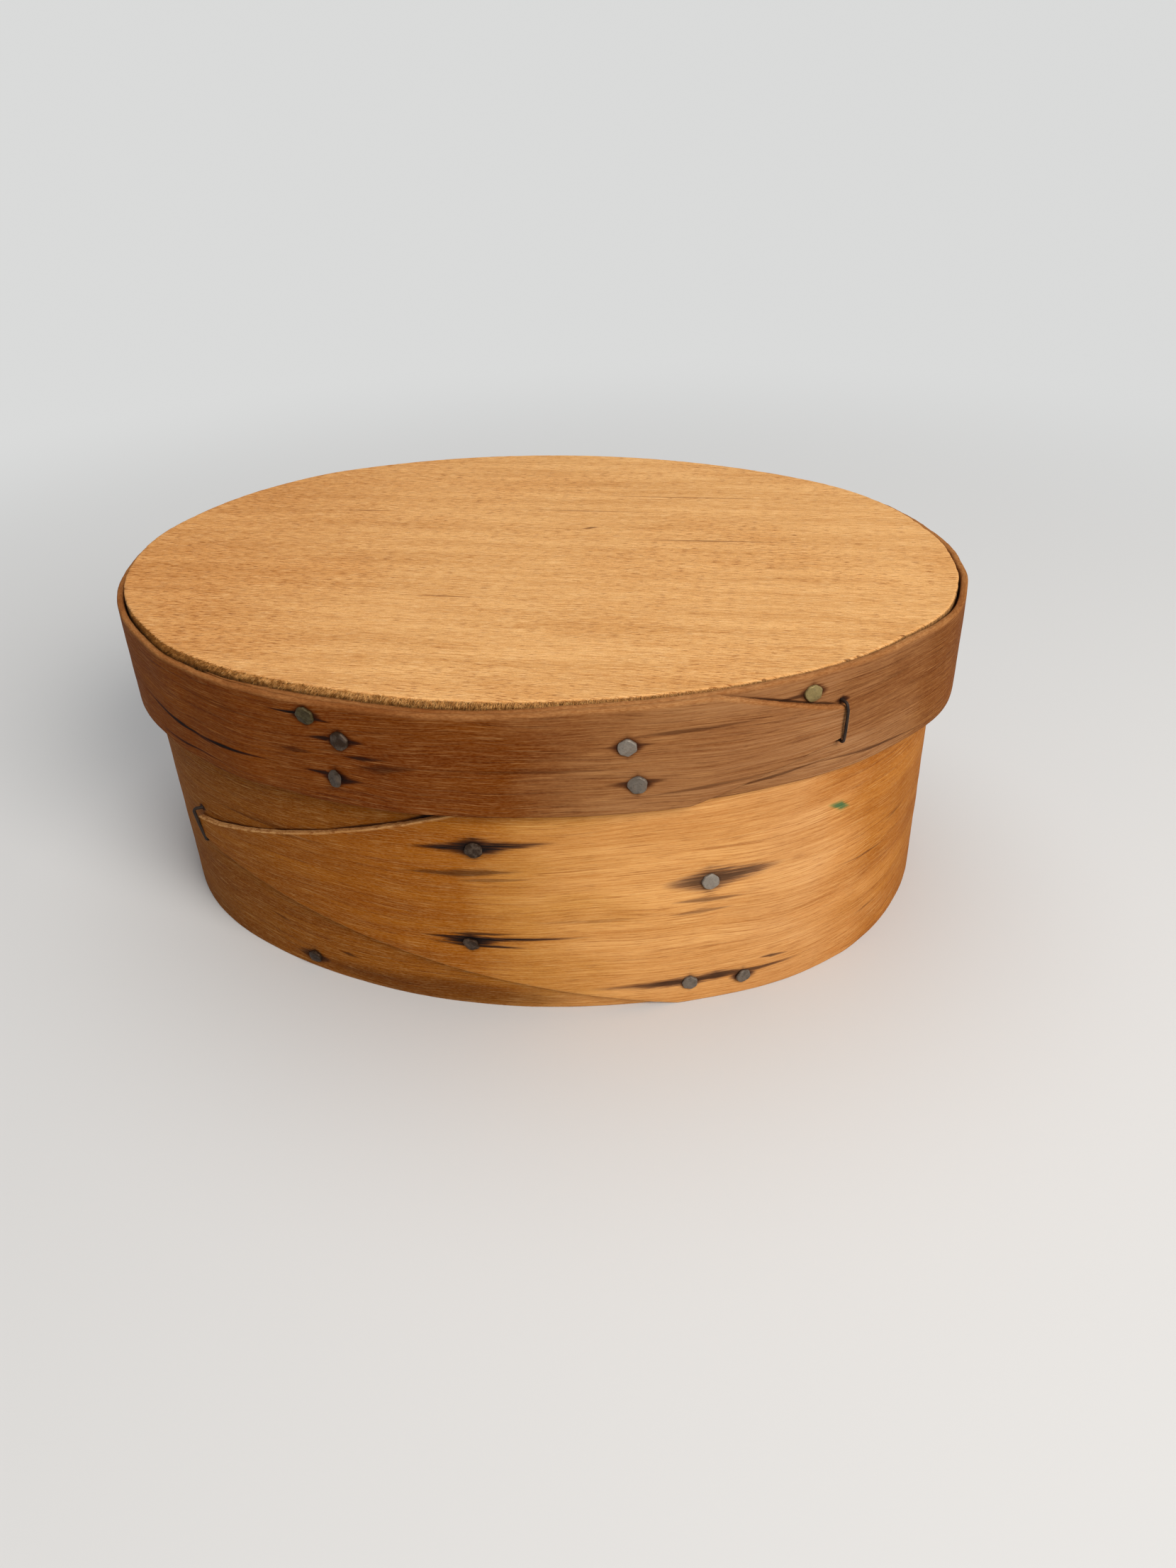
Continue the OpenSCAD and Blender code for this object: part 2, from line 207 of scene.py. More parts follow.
lidStrip = {
    "travel": 1, "start": -66, "tip": 91.5, "thick": 1.8, "base": 3.65,
    "low": 66.0, "high": 93.5, "tipMiddle": 81.3, "tipHeight": 8.0,
    "rootTop": 59, "rootFoot": 53, "bowTop": 1.06, "bowFoot": 1.06,
    "step": 1.2, "rows": 22, "round": 0.55, "worn": 0.6, "seed": 8,
    "lowBulge": [
        (-162, 1.0), (-135, 0.3), (-95, 0.6), (-76, 1.6), (-60, 2.2), (-44, 0.5), (-28, 0.9), (-14, 1.2),
        (2, 0.5), (20, 0.0), (50, -0.2), (85, -0.7), (105, -0.3), (135, 2.0), (152, 1.5), (168, 0.4),
        (190, -0.8), (230, -0.6), (-235, 1.4), (-210, 0.2), (-185, -0.2),
    ],
    "highBulge": [
        (-162, 1.0), (-140, 0.3), (-98, -0.2), (-76, 1.6), (-60, 1.8), (-44, 0.7), (-28, 0.1), (-8, 0.5),
        (10, 0.0), (30, -0.4), (60, -0.6), (85, -0.8), (108, -0.5), (133, 2.3), (150, 1.7), (166, 0.5),
        (190, -0.8), (230, -0.6), (-235, 1.6), (-210, 0.2), (-185, -0.2),
    ],
    "highLift": [
        (-230, 0.2), (-160, 0.0), (-100, 0.0), (-60, -0.3), (0, 0.0), (34, 1.3), (90, 1.95), (140, 1.6),
        (220, 0.8),
    ],
    "lowLift": [(-100, 0.0), (-60, -0.4), (0, 0.0), (85, 0.4), (150, 0.0), (-200, 0.0)],
}


# Distance that the real band stands outside the even oval at s and z, from its two edges
def bulge(strip, s, z):
    k = np.clip((z - strip["low"]) / (strip["high"] - strip["low"]), 0, 1)
    return around(s, strip["lowBulge"]) * (1 - k) + around(s, strip["highBulge"]) * k


featherLength = 28.0  # stretch over which the buried start of a strip is thinned
featherThick = 0.3  # thickness at the start itself
lapGap = 0.1  # air between the two layers of a lap
leadLength = 10.0  # stretch over which a strip climbs onto its own start
tipCorner = 1.6  # radius of the corners of a finger's tip


# Thickness after u of travel: the feather's, eased up to the full one over the feather's length
def stripThick(strip, u):
    return featherThick + (strip["thick"] - featherThick) * ease(u / featherLength)


# The inner face rises before one whole round, to climb onto the strip's own thinned start
def stripRise(strip, u):
    climb = (featherThick + lapGap) * ease((u - roundS + leadLength) / leadLength)
    return np.where(u < roundS, climb, lapGap + stripThick(strip, u - roundS))


# The outer face's distance from the mould: base + thickness + bulge, and on the lap + the rise
def faceOut(strip, s, z, lapped=True):
    out = strip["base"] + strip["thick"] + bulge(strip, s, z)
    if lapped:
        out = out + stripRise(strip, roundS + strip["travel"] * (s - strip["start"]))
    return out


# Heights of the strip's two edges after u of travel: past the finger's roots they run to the
# tip as a power of the share of the way, and the tip's corners are rounded by a quarter circle.
def stripEdges(strip, u):
    s = strip["start"] + strip["travel"] * u
    high = strip["high"] + around(s, strip["highLift"])
    low = strip["low"] + around(s, strip["lowLift"])
    left = strip["travel"] * (strip["tip"] - strip["start"]) + roundS - u
    half = strip["tipHeight"] / 2
    for sign, root, bow in ((1, "rootTop", "bowTop"), (-1, "rootFoot", "bowFoot")):
        k = np.clip(left / (strip["travel"] * (strip["tip"] - strip[root])), 0, 1) ** strip[bow]
        short = np.clip(tipCorner - left, 0, tipCorner)
        nip = tipCorner - np.sqrt(tipCorner**2 - short**2)
        inner = strip["tipMiddle"] + sign * (half - nip)
        if sign > 0:
            high = inner + (high - inner) * k
        else:
            low = inner + (low - inner) * k
    return low, high


# The strip is a rounded rectangle carried along its own spiral. Columns run up the outer face,
# over the top edge, down the inner face and under the lower edge. Each point is base + rise +
# depth + bulge + a slight wave out from the mould, with depth 0 on the inner face.
def stripSkin(strip):
    length = roundS + strip["travel"] * (strip["tip"] - strip["start"])
    u = np.concatenate([
        np.linspace(0, length - 2, int(length / strip["step"])),
        length - 2 + 2 * np.sin(np.linspace(0.2, math.pi / 2, 7)),
    ])
    s = strip["start"] + strip["travel"] * u
    low, high = stripEdges(strip, u)
    fray = 0.10 * ripple(u, 13, strip["seed"]) + 0.06 * ripple(u, 4.1, strip["seed"] + 1)
    fray = fray * ease((length - u) / 4)  # none at the tip
    high = high + fray
    low = low - 0.6 * fray * (low > strip["low"] + 1.0)  # on the finger only
    thick = stripThick(strip, u)
    corner = np.minimum(strip["round"], thick * 0.42)  # smaller where the strip is thinned
    n = strip["rows"]
    share = np.concatenate([[0, 0.012, 0.028], np.linspace(0.06, 0.94, n - 6), [0.972, 0.988, 1]])
    turn = np.radians([60, 30])
    zs, ns = [], []  # height and depth of each column, as functions of the row
    zs += [low] + [low + corner * (1 - math.cos(math.pi / 2 - a)) for a in turn]
    ns += [thick - corner] + [thick - corner * (1 - math.sin(math.pi / 2 - a)) for a in turn]
    zs += [low + corner + f * (high - low - 2 * corner) for f in share]
    ns += [thick] * n
    zs += [high - corner * (1 - math.sin(a)) for a in turn[::-1]] + [high]
    ns += [thick - corner * (1 - math.cos(a)) for a in turn[::-1]] + [thick - corner]
    zs, ns = np.array(zs).T, np.array(ns).T
    z = np.concatenate([zs, zs[:, ::-1]], 1)
    depth = np.concatenate([ns, (thick[:, None] - ns)[:, ::-1]], 1)
    cols = z.shape[1]
    outer = np.arange(cols) < cols // 2
    # 1 on the cut edges, falling off over the rubbed width above and 0.4 mm below
    inwards = np.where(outer, thick[:, None] - depth, depth)
    below, above = z - low[:, None] + inwards, high[:, None] - z + inwards - corner[:, None]
    edge = np.maximum(1 - ease(above / strip["worn"]), 1 - ease(below / 0.4))
    sGrid = np.repeat(s[:, None], cols, 1)
    # the faces' own unevenness of about a tenth of a millimetre
    wave = 0.07 * ripple(sGrid + 1.7 * z, 47, strip["seed"] + 4)
    wave += 0.05 * ripple(z + 0.12 * sGrid, 19, strip["seed"] + 6)
    out = strip["base"] + stripRise(strip, u)[:, None] + depth + bulge(strip, sGrid, z) + wave
    x, y, _, _ = onOval(sGrid, out)
    points = np.stack([x, y, z], -1)
    rows = len(u)
    j = np.arange(cols // 2 - 1)
    caps = [np.stack([j + 1, j, cols - 1 - j, cols - 2 - j], -1)]
    caps.append((caps[0] + (rows - 1) * cols)[:, ::-1])
    grain = np.stack([np.repeat(u[:, None], cols, 1), z, depth], -1)
    place = np.stack([sGrid, z, np.repeat(np.where(outer, 1.0, 0.0)[None], rows, 0)], -1)
    attributes = {
        "grain": grain.reshape(-1, 3),
        "place": place.reshape(-1, 3),
        "edge": edge.ravel(),
    }
    return points.reshape(-1, 3), [gridFaces(rows, cols), np.concatenate(caps)], attributes


# Adds a node, with plain values or other nodes' sockets on its inputs
def put(tree, kind, inputs=None, **settings):
    node = tree.nodes.new(kind)
    for key, value in settings.items():
        setattr(node, key, value)
    for key, value in (inputs or {}).items():
        if isinstance(value, bpy.types.NodeSocket):
            tree.links.new(value, node.inputs[key])
        else:
            node.inputs[key].default_value = value
    return node


# One step of arithmetic on plain values or sockets
def calc(tree, operation, *values, clamp=False):
    inputs = dict(enumerate(values))
    return put(tree, "ShaderNodeMath", inputs, operation=operation, use_clamp=clamp).outputs[0]


# The product of two values
def times(tree, a, b):
    return calc(tree, "MULTIPLY", a, b)


# Mixes colour b into colour a by a factor. Plain colours have 3 numbers.
def mixColour(tree, factor, a, b, mode="MIX"):
    a, b = ((*value, 1) if isinstance(value, tuple) else value for value in (a, b))
    node = put(tree, "ShaderNodeMix", {0: factor, 6: a, 7: b}, data_type="RGBA", blend_type=mode)
    return node.outputs[2]


# Multiplies a colour by a tint where the mask is 1
def darken(tree, mask, colour, tint):
    return mixColour(tree, mask, colour, tint, "MULTIPLY")


# Takes a value from one range to another, held at the ends
def span(tree, value, low, high, toLow=0.0, toHigh=1.0, smooth=False):
    kind = "SMOOTHSTEP" if smooth else "LINEAR"
    values = {0: value, 1: low, 2: high, 3: toLow, 4: toHigh}
    return put(tree, "ShaderNodeMapRange", values, interpolation_type=kind).outputs[0]


# Falls from its top value at low and below to 0 at high
def fade(tree, value, low, high, top=1.0):
    return span(tree, value, low, high, top, 0.0)


# Colours along a factor from 0 to 1, mixed between the stops
def ramp(tree, factor, stops):
    node = put(tree, "ShaderNodeValToRGB", {0: factor})
    elements = node.color_ramp.elements
    while len(elements) < len(stops):
        elements.new(0.5)
    for element, (at, colour) in zip(elements, stops):
        element.position, element.color = at, (*colour, 1)
    return node.outputs[0]


# A place stretched by x, y and z, and then shifted. A pattern on it is that much finer.
def scaled(tree, vector, x, y, z=0.0, shift=(0, 0, 0)):
    values = {"Vector": vector, "Scale": (x, y, z), "Location": shift}
    return put(tree, "ShaderNodeMapping", values).outputs[0]


# Noise about 0.5, each octave twice as fine as the one before and rough times as strong
def noise(tree, vector, detail=3.0, rough=0.55):
    values = {"Vector": vector, "Scale": 1.0, "Detail": detail, "Roughness": rough}
    return put(tree, "ShaderNodeTexNoise", values).outputs[0]


# The three numbers of a vector
def separate(tree, vector):
    return put(tree, "ShaderNodeSeparateXYZ", {0: vector}).outputs


# A vector made of three numbers
def combine(tree, x, y, z):
    return put(tree, "ShaderNodeCombineXYZ", {0: x, 1: y, 2: z}).outputs[0]


# Place on the piece in millimetres
def placeInMm(tree):
    coords = put(tree, "ShaderNodeTexCoord").outputs["Object"]
    return scaled(tree, coords, 1000, 1000, 1000)


# What makePiece wrote into the mesh under this key
def attribute(tree, key):
    return put(tree, "ShaderNodeAttribute", attribute_name=key, attribute_type="GEOMETRY").outputs


# A shader group's outputs, for these inputs
def useGroup(tree, group, inputs):
    return put(tree, "ShaderNodeGroup", inputs, node_tree=group).outputs


# A shader group: inputs with a default are numbers, those without one are vectors
def newGroup(name, inputs, outputs):
    tree = bpy.data.node_groups.new(name, "ShaderNodeTree")
    for key, value in inputs.items():
        kind = "NodeSocketVector" if value is None else "NodeSocketFloat"
        socket = tree.interface.new_socket(key, in_out="INPUT", socket_type=kind)
        if value is not None:
            socket.default_value = value
    for key in outputs:
        tree.interface.new_socket(key, in_out="OUTPUT", socket_type="NodeSocketFloat")
    result = tree.nodes.new("NodeGroupOutput")
    return tree, tree.nodes.new("NodeGroupInput").outputs, result.inputs


# Wood, with x along the grain and y across it in mm. Slow noise bends y by Wander mm, and each
# output is then noise drawn out along x: fine fibres, dark and pale hairlines, wide bands, and
# short strokes, whose peaks are dark dashes and whose hollows are pale flecks. Grit is nearly
# even. Height is fibres plus pale lines minus dark lines and dashes.
def makeGrainGroup():
    inputs = {"Grain": None, "Wander": 6.0, "Dash Length": 4.0}
    outputs = ("Fibre", "Dark Line", "Pale Line", "Band", "Dash", "Fleck", "Grit", "Height")
    tree, get, result = newGroup("woodGrain", inputs, outputs)
    x, y, z = separate(tree, get["Grain"])
    slow = calc(tree, "SUBTRACT", noise(tree, scaled(tree, get["Grain"], 0.011, 0.028), 2.0), 0.5)
    across = calc(tree, "MULTIPLY_ADD", times(tree, slow, 2.0), get["Wander"], y)
    bent = combine(tree, x, across, z)
    fibre = noise(tree, scaled(tree, bent, 0.035, 2.6), 4.0, 0.70)
    dark = noise(tree, scaled(tree, bent, 0.02, 1.25, shift=(7, 3, 1)), 3.0, 0.6)
    pale = noise(tree, scaled(tree, bent, 0.08, 3.1, shift=(2, 9, 4)), 2.0, 0.6)
    dark, pale = (span(tree, lines, 0.57, 0.70) for lines in (dark, pale))
    band = noise(tree, scaled(tree, bent, 0.007, 0.15, shift=(5, 1, 8)), 3.0, 0.5)
    along = calc(tree, "DIVIDE", x, get["Dash Length"])
    short = combine(tree, along, times(tree, across, 3.3), 0.0)
    strokes = noise(tree, short, 2.0, 0.5)
    dash, fleck = span(tree, strokes, 0.57, 0.66), span(tree, strokes, 0.40, 0.30)
    grit = noise(tree, scaled(tree, bent, 0.9, 4.2, 2.6), 2.0, 0.6)
    height = calc(tree, "MULTIPLY_ADD", pale, 0.25, fibre)
    height = calc(tree, "MULTIPLY_ADD", dark, -0.5, height)
    height = calc(tree, "MULTIPLY_ADD", dash, -0.5, height)
    for key, value in zip(outputs, (fibre, dark, pale, band, dash, fleck, grit, height)):
        tree.links.new(value, result[key])
    return tree


# A dark streak along the grain, drawn for stains, cracks and paint and for painted shadows and
# shade. With fall the share of the reach to the left or right that is still to go, and
# a = dz / (height * (0.3 + 0.7 * fall)), its level is fall ** 0.7 * exp(-a * a) and a share of
# the fibres, which makes it run out in points. The core weakens with the square of the strength,
# so a weak streak is nearly all halo.
def makeStreakGroup():
    inputs = {
        "Place": None, "Fibre": 0.5, "S": 0.0, "Z": 0.0, "Left": 10.0, "Right": 10.0,
        "Height": 2.0, "Slope": 0.0, "Ragged": 0.6, "Strength": 1.0,
    }
    tree, get, result = newGroup("darkStreak", inputs, ("Core", "Halo"))
    s, z, _ = separate(tree, get["Place"])
    ds = calc(tree, "SUBTRACT", s, get["S"])
    dz = calc(tree, "SUBTRACT", z, get["Z"])
    dz = calc(tree, "SUBTRACT", dz, times(tree, ds, get["Slope"]))
    toRight = calc(tree, "GREATER_THAN", ds, 0.0)
    extra = calc(tree, "SUBTRACT", get["Right"], get["Left"])
    reach = calc(tree, "MULTIPLY_ADD", toRight, extra, get["Left"])
    share = calc(tree, "DIVIDE", calc(tree, "ABSOLUTE", ds), reach)
    fall = calc(tree, "SUBTRACT", 1.0, share, clamp=True)
    height = times(tree, get["Height"], calc(tree, "MULTIPLY_ADD", fall, 0.7, 0.3))
    a = calc(tree, "DIVIDE", dz, height)
    minusSquare = times(tree, times(tree, a, a), -1.0)
    level = times(tree, calc(tree, "POWER", fall, 0.7), calc(tree, "EXPONENT", minusSquare))
    near = times(tree, fall, calc(tree, "EXPONENT", times(tree, minusSquare, 0.3)))
    ragged = times(tree, calc(tree, "SUBTRACT", get["Fibre"], 0.5), get["Ragged"])
    level = calc(tree, "MULTIPLY_ADD", ragged, near, level)
    for key, low, high, power in (("Core", 0.28, 0.86, 2.0), ("Halo", 0.04, 0.58, 1.0)):
        mask = span(tree, level, low, high, smooth=True)
        strength = calc(tree, "POWER", get["Strength"], power)
        tree.links.new(times(tree, mask, strength), result[key])
    return tree


# Handling wear: soft patches about Size mm long, and small specks of dirt
def makeWearGroup():
    tree, get, result = newGroup("handWear", {"Place": None, "Size": 30.0}, ("Patch", "Speck"))
    x, y, z = separate(tree, get["Place"])
    shares = (calc(tree, "DIVIDE", value, get["Size"]) for value in (times(tree, x, 0.6), y, z))
    tree.links.new(noise(tree, combine(tree, *shares)), result["Patch"])
    specks = noise(tree, scaled(tree, get["Place"], 0.6, 0.9, 0.9), 2.0)
    tree.links.new(span(tree, specks, 0.68, 0.78), result["Speck"])
    return tree


grainGroup, streakGroup, wearGroup = makeGrainGroup(), makeStreakGroup(), makeWearGroup()
print("shader groups made")


# A material with a bare Principled shader joined to its output
def newMaterial(name):
    material = bpy.data.materials.new(name)
    material.use_nodes = True
    tree = material.node_tree
    tree.nodes.clear()
    shader = tree.nodes.new("ShaderNodeBsdfPrincipled")
    target = tree.nodes.new("ShaderNodeOutputMaterial")
    tree.links.new(shader.outputs[0], target.inputs[0])
    return material, tree, shader


# Joins colour and roughness to the shader, sets its gloss, and bumps it by a height that runs
# from 0 to 1 over depth metres
def finishShader(tree, shader, colour, rough, gloss, height, strength, depth):
    tree.links.new(colour, shader.inputs["Base Color"])
    tree.links.new(rough, shader.inputs["Roughness"])
    shader.inputs["Specular IOR Level"].default_value = gloss
    bump = put(tree, "ShaderNodeBump", {"Strength": strength, "Distance": depth, "Height": height})
    tree.links.new(bump.outputs[0], shader.inputs["Normal"])


# Lays a list of dark marks over a colour: stains, and painted shadows and shade. Each darkens it
# softly all round and goes black in its middle. A mark is (s, z, left, right, height, slope,
# ragged, strength).
def layDarkMarks(tree, place, colour, darkMarks, tints):
    fibre = span(tree, noise(tree, scaled(tree, place, 0.09, 2.0), 3.0, 0.65), 0.32, 0.68)
    core = halo = 0.0
    for s, z, left, right, height, slope, ragged, strength in darkMarks:
        masks = useGroup(tree, streakGroup, {
            "Place": place, "Fibre": fibre, "S": s, "Z": z, "Left": left, "Right": right,
            "Height": height, "Slope": slope, "Ragged": ragged, "Strength": strength,
        })
        core = calc(tree, "MAXIMUM", core, masks["Core"])
        halo = calc(tree, "MAXIMUM", halo, masks["Halo"])
    return mixColour(tree, core, darken(tree, halo, colour, tints[1]), tints[0])


# Gives a piece its material, the body that it rides on and the node that it replaces
def dress(piece, material, body, node=None):
    piece.data.materials.append(material)
    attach(piece, body)
    if node:
        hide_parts(node)


fasteners = {
    # name: strip, s, z, head radius, on the lap, kind, tilt across and up in degrees, seed, tone.
    # The tones run low on the left and high on the right: partly the metal's own tarnish and partly
    # painted shade on the left heads and painted light on the right ones
    "side_tack_upper": ("side", 1.1, 53.5, 2.35, True, "tack", (3, -4), 1, 0.05),
    "side_tack_lower": ("side", -2.1, 23.2, 2.35, True, "tack", (-3, -16), 2, 0.02),
    "side_tack_right": ("side", 59.0, 40.3, 2.35, True, "tack", (-4, 3), 3, 0.82),
    "base_nail_left": ("side", -52.2, 4.2, 2.15, False, "nail", (6, -8), 4, 0.02),
    "base_nail_middle": ("side", 54.0, 7.1, 2.15, True, "nail", (-3, 4), 5, 0.5),
    "base_nail_right": ("side", 68.6, 6.0, 2.15, True, "nail", (10, -3), 6, 0.42),
    "lid_tack_upper_left": ("lid", -26.9, 84.1, 2.5, True, "tack", (-2, 3), 7, 0.06),
    "lid_tack_lower_left": ("lid", -29.3, 73.4, 2.3, True, "tack", (-24, 8), 8, 0.14),
    "lid_tack_upper_right": ("lid", 38.6, 84.7, 2.35, True, "tack", (-2, -2), 9, 0.72),
    "lid_tack_lower_right": ("lid", 40.7, 74.39, 2.35, True, "tack", (-6, 6), 10, 0.45),
    "lid_nail_left": ("lid", -35.0, 89.6, 2.45, True, "nail", (5, -4), 11, 0.03),
    "lid_nail_right": ("lid", 82.4, 90.62, 2.25, False, "nail", (-10, 4), 12, 0.8),
}
headHeight, shankRadius, nailLength = 0.9, 0.7, 15.0
backPitch, backRadius, backNails = 62.0, 2.15, {"side": 3.4, "lid": 90.7}
# The back nails on both sides of the place behind where s starts anew
backPlaces = [roundS / 2 - backPitch, backPitch - roundS / 2, roundS / 2, -roundS / 2]


# The dark ring round each head, partly iron stain and partly painted shade in the crevice round
# the head, drawn as a streak a little wider than the head
def headRings(which, strength):
    heads = [(s, z, r) for strip, s, z, r, *_ in fasteners.values() if strip == which]
    heads += [(s, backNails[which], backRadius) for s in backPlaces]
    return [(s, z, r + 2.2, r + 2.2, r + 0.3, 0, 0.25, strength) for s, z, r in heads]


# The painted shadow in the gap beside a finger's upper edge, where the finger stands off a little,
# as dark streaks that follow the edge. They are laid on the layer below only, and the finger
# covers half of each. Each is given by s, its reach to the left and right, its height and its
# strength.
def edgeGapShadows(strip, gaps):
    darkMarks = []
    for s, left, right, height, strength in gaps:
        u = roundS + strip["travel"] * (s + np.array([-3.0, 0.0, 3.0]) - strip["start"])
        z = stripEdges(strip, u)[1]
        darkMarks.append((s, float(z[1]), left, right, height, float(z[2] - z[0]) / 6, 0.35, strength))
    return darkMarks


alongReach = 160.0  # distance to each side of the front that the colours along a band cover
woodGloss = 0.03
grainDepth = 0.0003  # metres

sideLook = {
    # base colour from left to right along s, from -alongReach to alongReach: the wood's own two
    # tones, with painted shade darkening the left and a painted sheen lightening the right half
    "along": [
        (0.0, (0.33, 0.105, 0.008)), (0.2, (0.29, 0.088, 0.005)), (0.42, (0.35, 0.105, 0.004)),
        (0.49, (0.40, 0.130, 0.008)), (0.55, (0.60, 0.275, 0.062)), (0.61, (0.76, 0.390, 0.130)),
        (0.76, (0.69, 0.355, 0.135)), (0.80, (0.64, 0.300, 0.095)), (0.86, (0.48, 0.180, 0.028)),
        (1.0, (0.33, 0.105, 0.008)),
    ],
    "lapShade": 0.86,  # the layer under the finger is a little duller
    "inside": (0.62, 0.37, 0.17), "cut": (0.66, 0.36, 0.14), "cutShare": 1.0,
    "bandTint": (0.84, 0.76, 0.66), "fibreTint": (0.76, 0.64, 0.50), "darkTint": (0.52, 0.36, 0.26),
    "paleTint": (0.86, 0.52, 0.20), "pale": 0.24, "grit": 0.10, "lines": 0.6,
    "wander": 5.0, "dashLength": 6.0, "bump": 0.35, "roughness": (0.62, 0.76),
    "darkMarks": [
        (1.1, 54.0, 11, 11, 3.0, 0.05, 0.45, 1.0), (1.1, 54.2, 19, 22, 1.6, 0.09, 0.9, 1.0),
        (-2.2, 23.9, 9, 9, 2.4, 0.03, 0.6, 1.0), (-2.2, 24.7, 15, 34, 0.85, 0.04, 0.9, 1.0),
        (-2.2, 22.4, 13, 17, 0.7, 0.0, 0.9, 0.9), (-2.0, 26.2, 8, 15, 0.6, 0.07, 0.9, 0.75),
        (59.0, 40.6, 13, 12, 3.6, 0.0, 0.6, 0.8), (60.0, 40.9, 8, 20, 3.0, 0.05, 0.8, 0.82),
        (58.0, 34.4, 10, 13, 0.8, -0.05, 1.0, 0.55), (56.5, 30.8, 9, 10, 0.7, 0.0, 1.0, 0.45),
        (54.0, 7.5, 28, 12, 1.5, -0.01, 0.9, 0.85), (61.0, 7.8, 12, 12, 1.4, 0.0, 0.5, 0.85),
        (68.6, 7.3, 8, 19, 0.8, 0.01, 0.7, 0.8), (-2.0, 46.0, 19, 17, 1.2, 0.08, 1.0, 0.62),
        (4.0, 44.0, 10, 12, 0.7, 0.08, 0.9, 0.4), (-52.6, 3.9, 7, 7, 2.4, 0, 0.5, 0.8),
        (-90.6, 40.4, 2.4, 2.4, 1.2, 0, 0.2, 0.9), (-91.2, 29.6, 2.4, 2.4, 1.2, 0, 0.2, 0.9),
        (76.5, 10.6, 4, 6, 0.5, -0.1, 0.6, 0.7), (106.0, 32.0, 11, 13, 0.35, -0.1, 0.9, 0.4),
        # a wide dark zone along the foot, left of the middle: painted shade
        (-6.0, 3.0, 60, 34, 5.5, 0.0, 0.3, 0.4),
        (109.5, 11.8, 5, 6, 0.35, 0.03, 0.8, 0.4), (120.5, 38.2, 6, 8, 0.35, 0.0, 0.8, 0.4),
        (-40.0, 9.0, 4, 4, 0.5, -0.1, 0.6, 0.6), (-62.0, 14.0, 5, 3, 0.4, -0.15, 0.6, 0.5),
        (-60.0, 47.0, 24, 24, 0.8, 0.03, 0.9, 0.3), (30.0, 31.0, 20, 14, 0.6, 0.01, 0.9, 0.25),
    ] + headRings("side", 0.95),
    "tints": ((0.010, 0.007, 0.007), (0.28, 0.25, 0.40)), "broken": 0.8,
    "gaps": edgeGapShadows(sideStrip, [
        (-7, 15, 8, 1.1, 0.95), (-28, 16, 22, 0.5, 0.75), (-50, 18, 20, 0.4, 0.6),
        (-76, 14, 22, 0.45, 0.65),
    ]),
    "paint": [(95.4, 52.7, 5.0, 3.6, 1.4, -0.4, 0.7, 0.9)],
    "paintTints": ((0.025, 0.13, 0.055), (0.6, 0.9, 0.8)),
}
lidLook = {
    "along": [
        # base colour from left to right along s: the band's own colour, with a painted sheen making the
        # right greyer and lighter
        (0.0, (0.235, 0.070, 0.006)), (0.22, (0.235, 0.062, 0.003)), (0.42, (0.165, 0.037, 0.002)),
        (0.52, (0.18, 0.046, 0.003)), (0.61, (0.34, 0.160, 0.062)), (0.78, (0.36, 0.178, 0.078)),
        (0.86, (0.235, 0.088, 0.024)), (1.0, (0.235, 0.070, 0.006)),
    ],
    "lapShade": 0.96,
    "inside": (0.36, 0.18, 0.08), "cut": (0.43, 0.20, 0.07), "cutShare": 0.7,
    "bandTint": (0.82, 0.72, 0.62), "fibreTint": (0.70, 0.56, 0.44), "darkTint": (0.44, 0.30, 0.24),
    "paleTint": (0.56, 0.28, 0.10), "pale": 0.30, "grit": 0.10, "lines": 0.7,
    "wander": 5.0, "dashLength": 8.0, "bump": 0.4, "roughness": (0.62, 0.76),
    "darkMarks": [
        (-38.0, 89.9, 9, 2, 0.45, 0.05, 0.4, 1.0), (-32.8, 89.0, 2, 5, 0.5, -0.1, 0.4, 0.9),
        (-30.5, 84.2, 6, 2, 0.8, 0.1, 0.6, 0.9), (-25.0, 83.9, 2, 5, 1.0, 0.1, 0.7, 0.9),
        (-32.0, 74.2, 7, 2, 0.8, 0.0, 0.6, 0.9), (-27.5, 73.0, 2, 6, 1.0, 0.05, 0.7, 0.9),
        (38.6, 84.9, 6, 7, 0.8, 0.02, 0.7, 0.75), (40.7, 74.8, 8, 7.5, 1.3, 0.03, 0.8, 0.8),
        (-21.5, 80.1, 6, 7, 0.7, 0.05, 0.9, 0.8), (-17.0, 78.0, 8, 10, 1.3, 0.1, 1.0, 0.55),
        (-40.0, 79.2, 5, 6, 0.7, 0.05, 1.0, 0.5), (79.5, 90.4, 6, 1, 0.6, 0.0, 0.5, 0.7),
        (90.6, 86.5, 2.4, 2.4, 1.1, 0, 0.2, 0.9), (90.5, 76.0, 2.4, 2.4, 1.1, 0, 0.2, 0.9),
        (-80.0, 74.7, 22, 18, 0.6, -0.13, 0.35, 1.0), (-64.0, 73.9, 14, 20, 0.55, 0.01, 0.4, 1.0),
        (-80.0, 68.7, 14, 18, 0.4, 0.01, 0.5, 0.8), (74.0, 69.8, 14, 18, 0.4, 0.10, 0.9, 0.6),
        (100.0, 69.6, 20, 24, 0.4, -0.08, 0.9, 0.6), (58.0, 71.6, 18, 22, 0.5, 0.05, 0.9, 0.45),
        (50.0, 87.4, 14, 24, 0.5, 0.02, 0.9, 0.5), (20.0, 79.0, 30, 22, 0.5, 0.0, 1.0, 0.35),
        (-60.0, 86.0, 20, 18, 0.5, -0.06, 1.0, 0.35),
    ] + headRings("lid", 1.0),
    "tints": ((0.010, 0.006, 0.005), (0.32, 0.22, 0.19)), "broken": 0.25,
    "gaps": edgeGapShadows(lidStrip, [(76, 14, 13, 0.5, 0.8), (86, 8, 4, 0.4, 0.7)]),
}
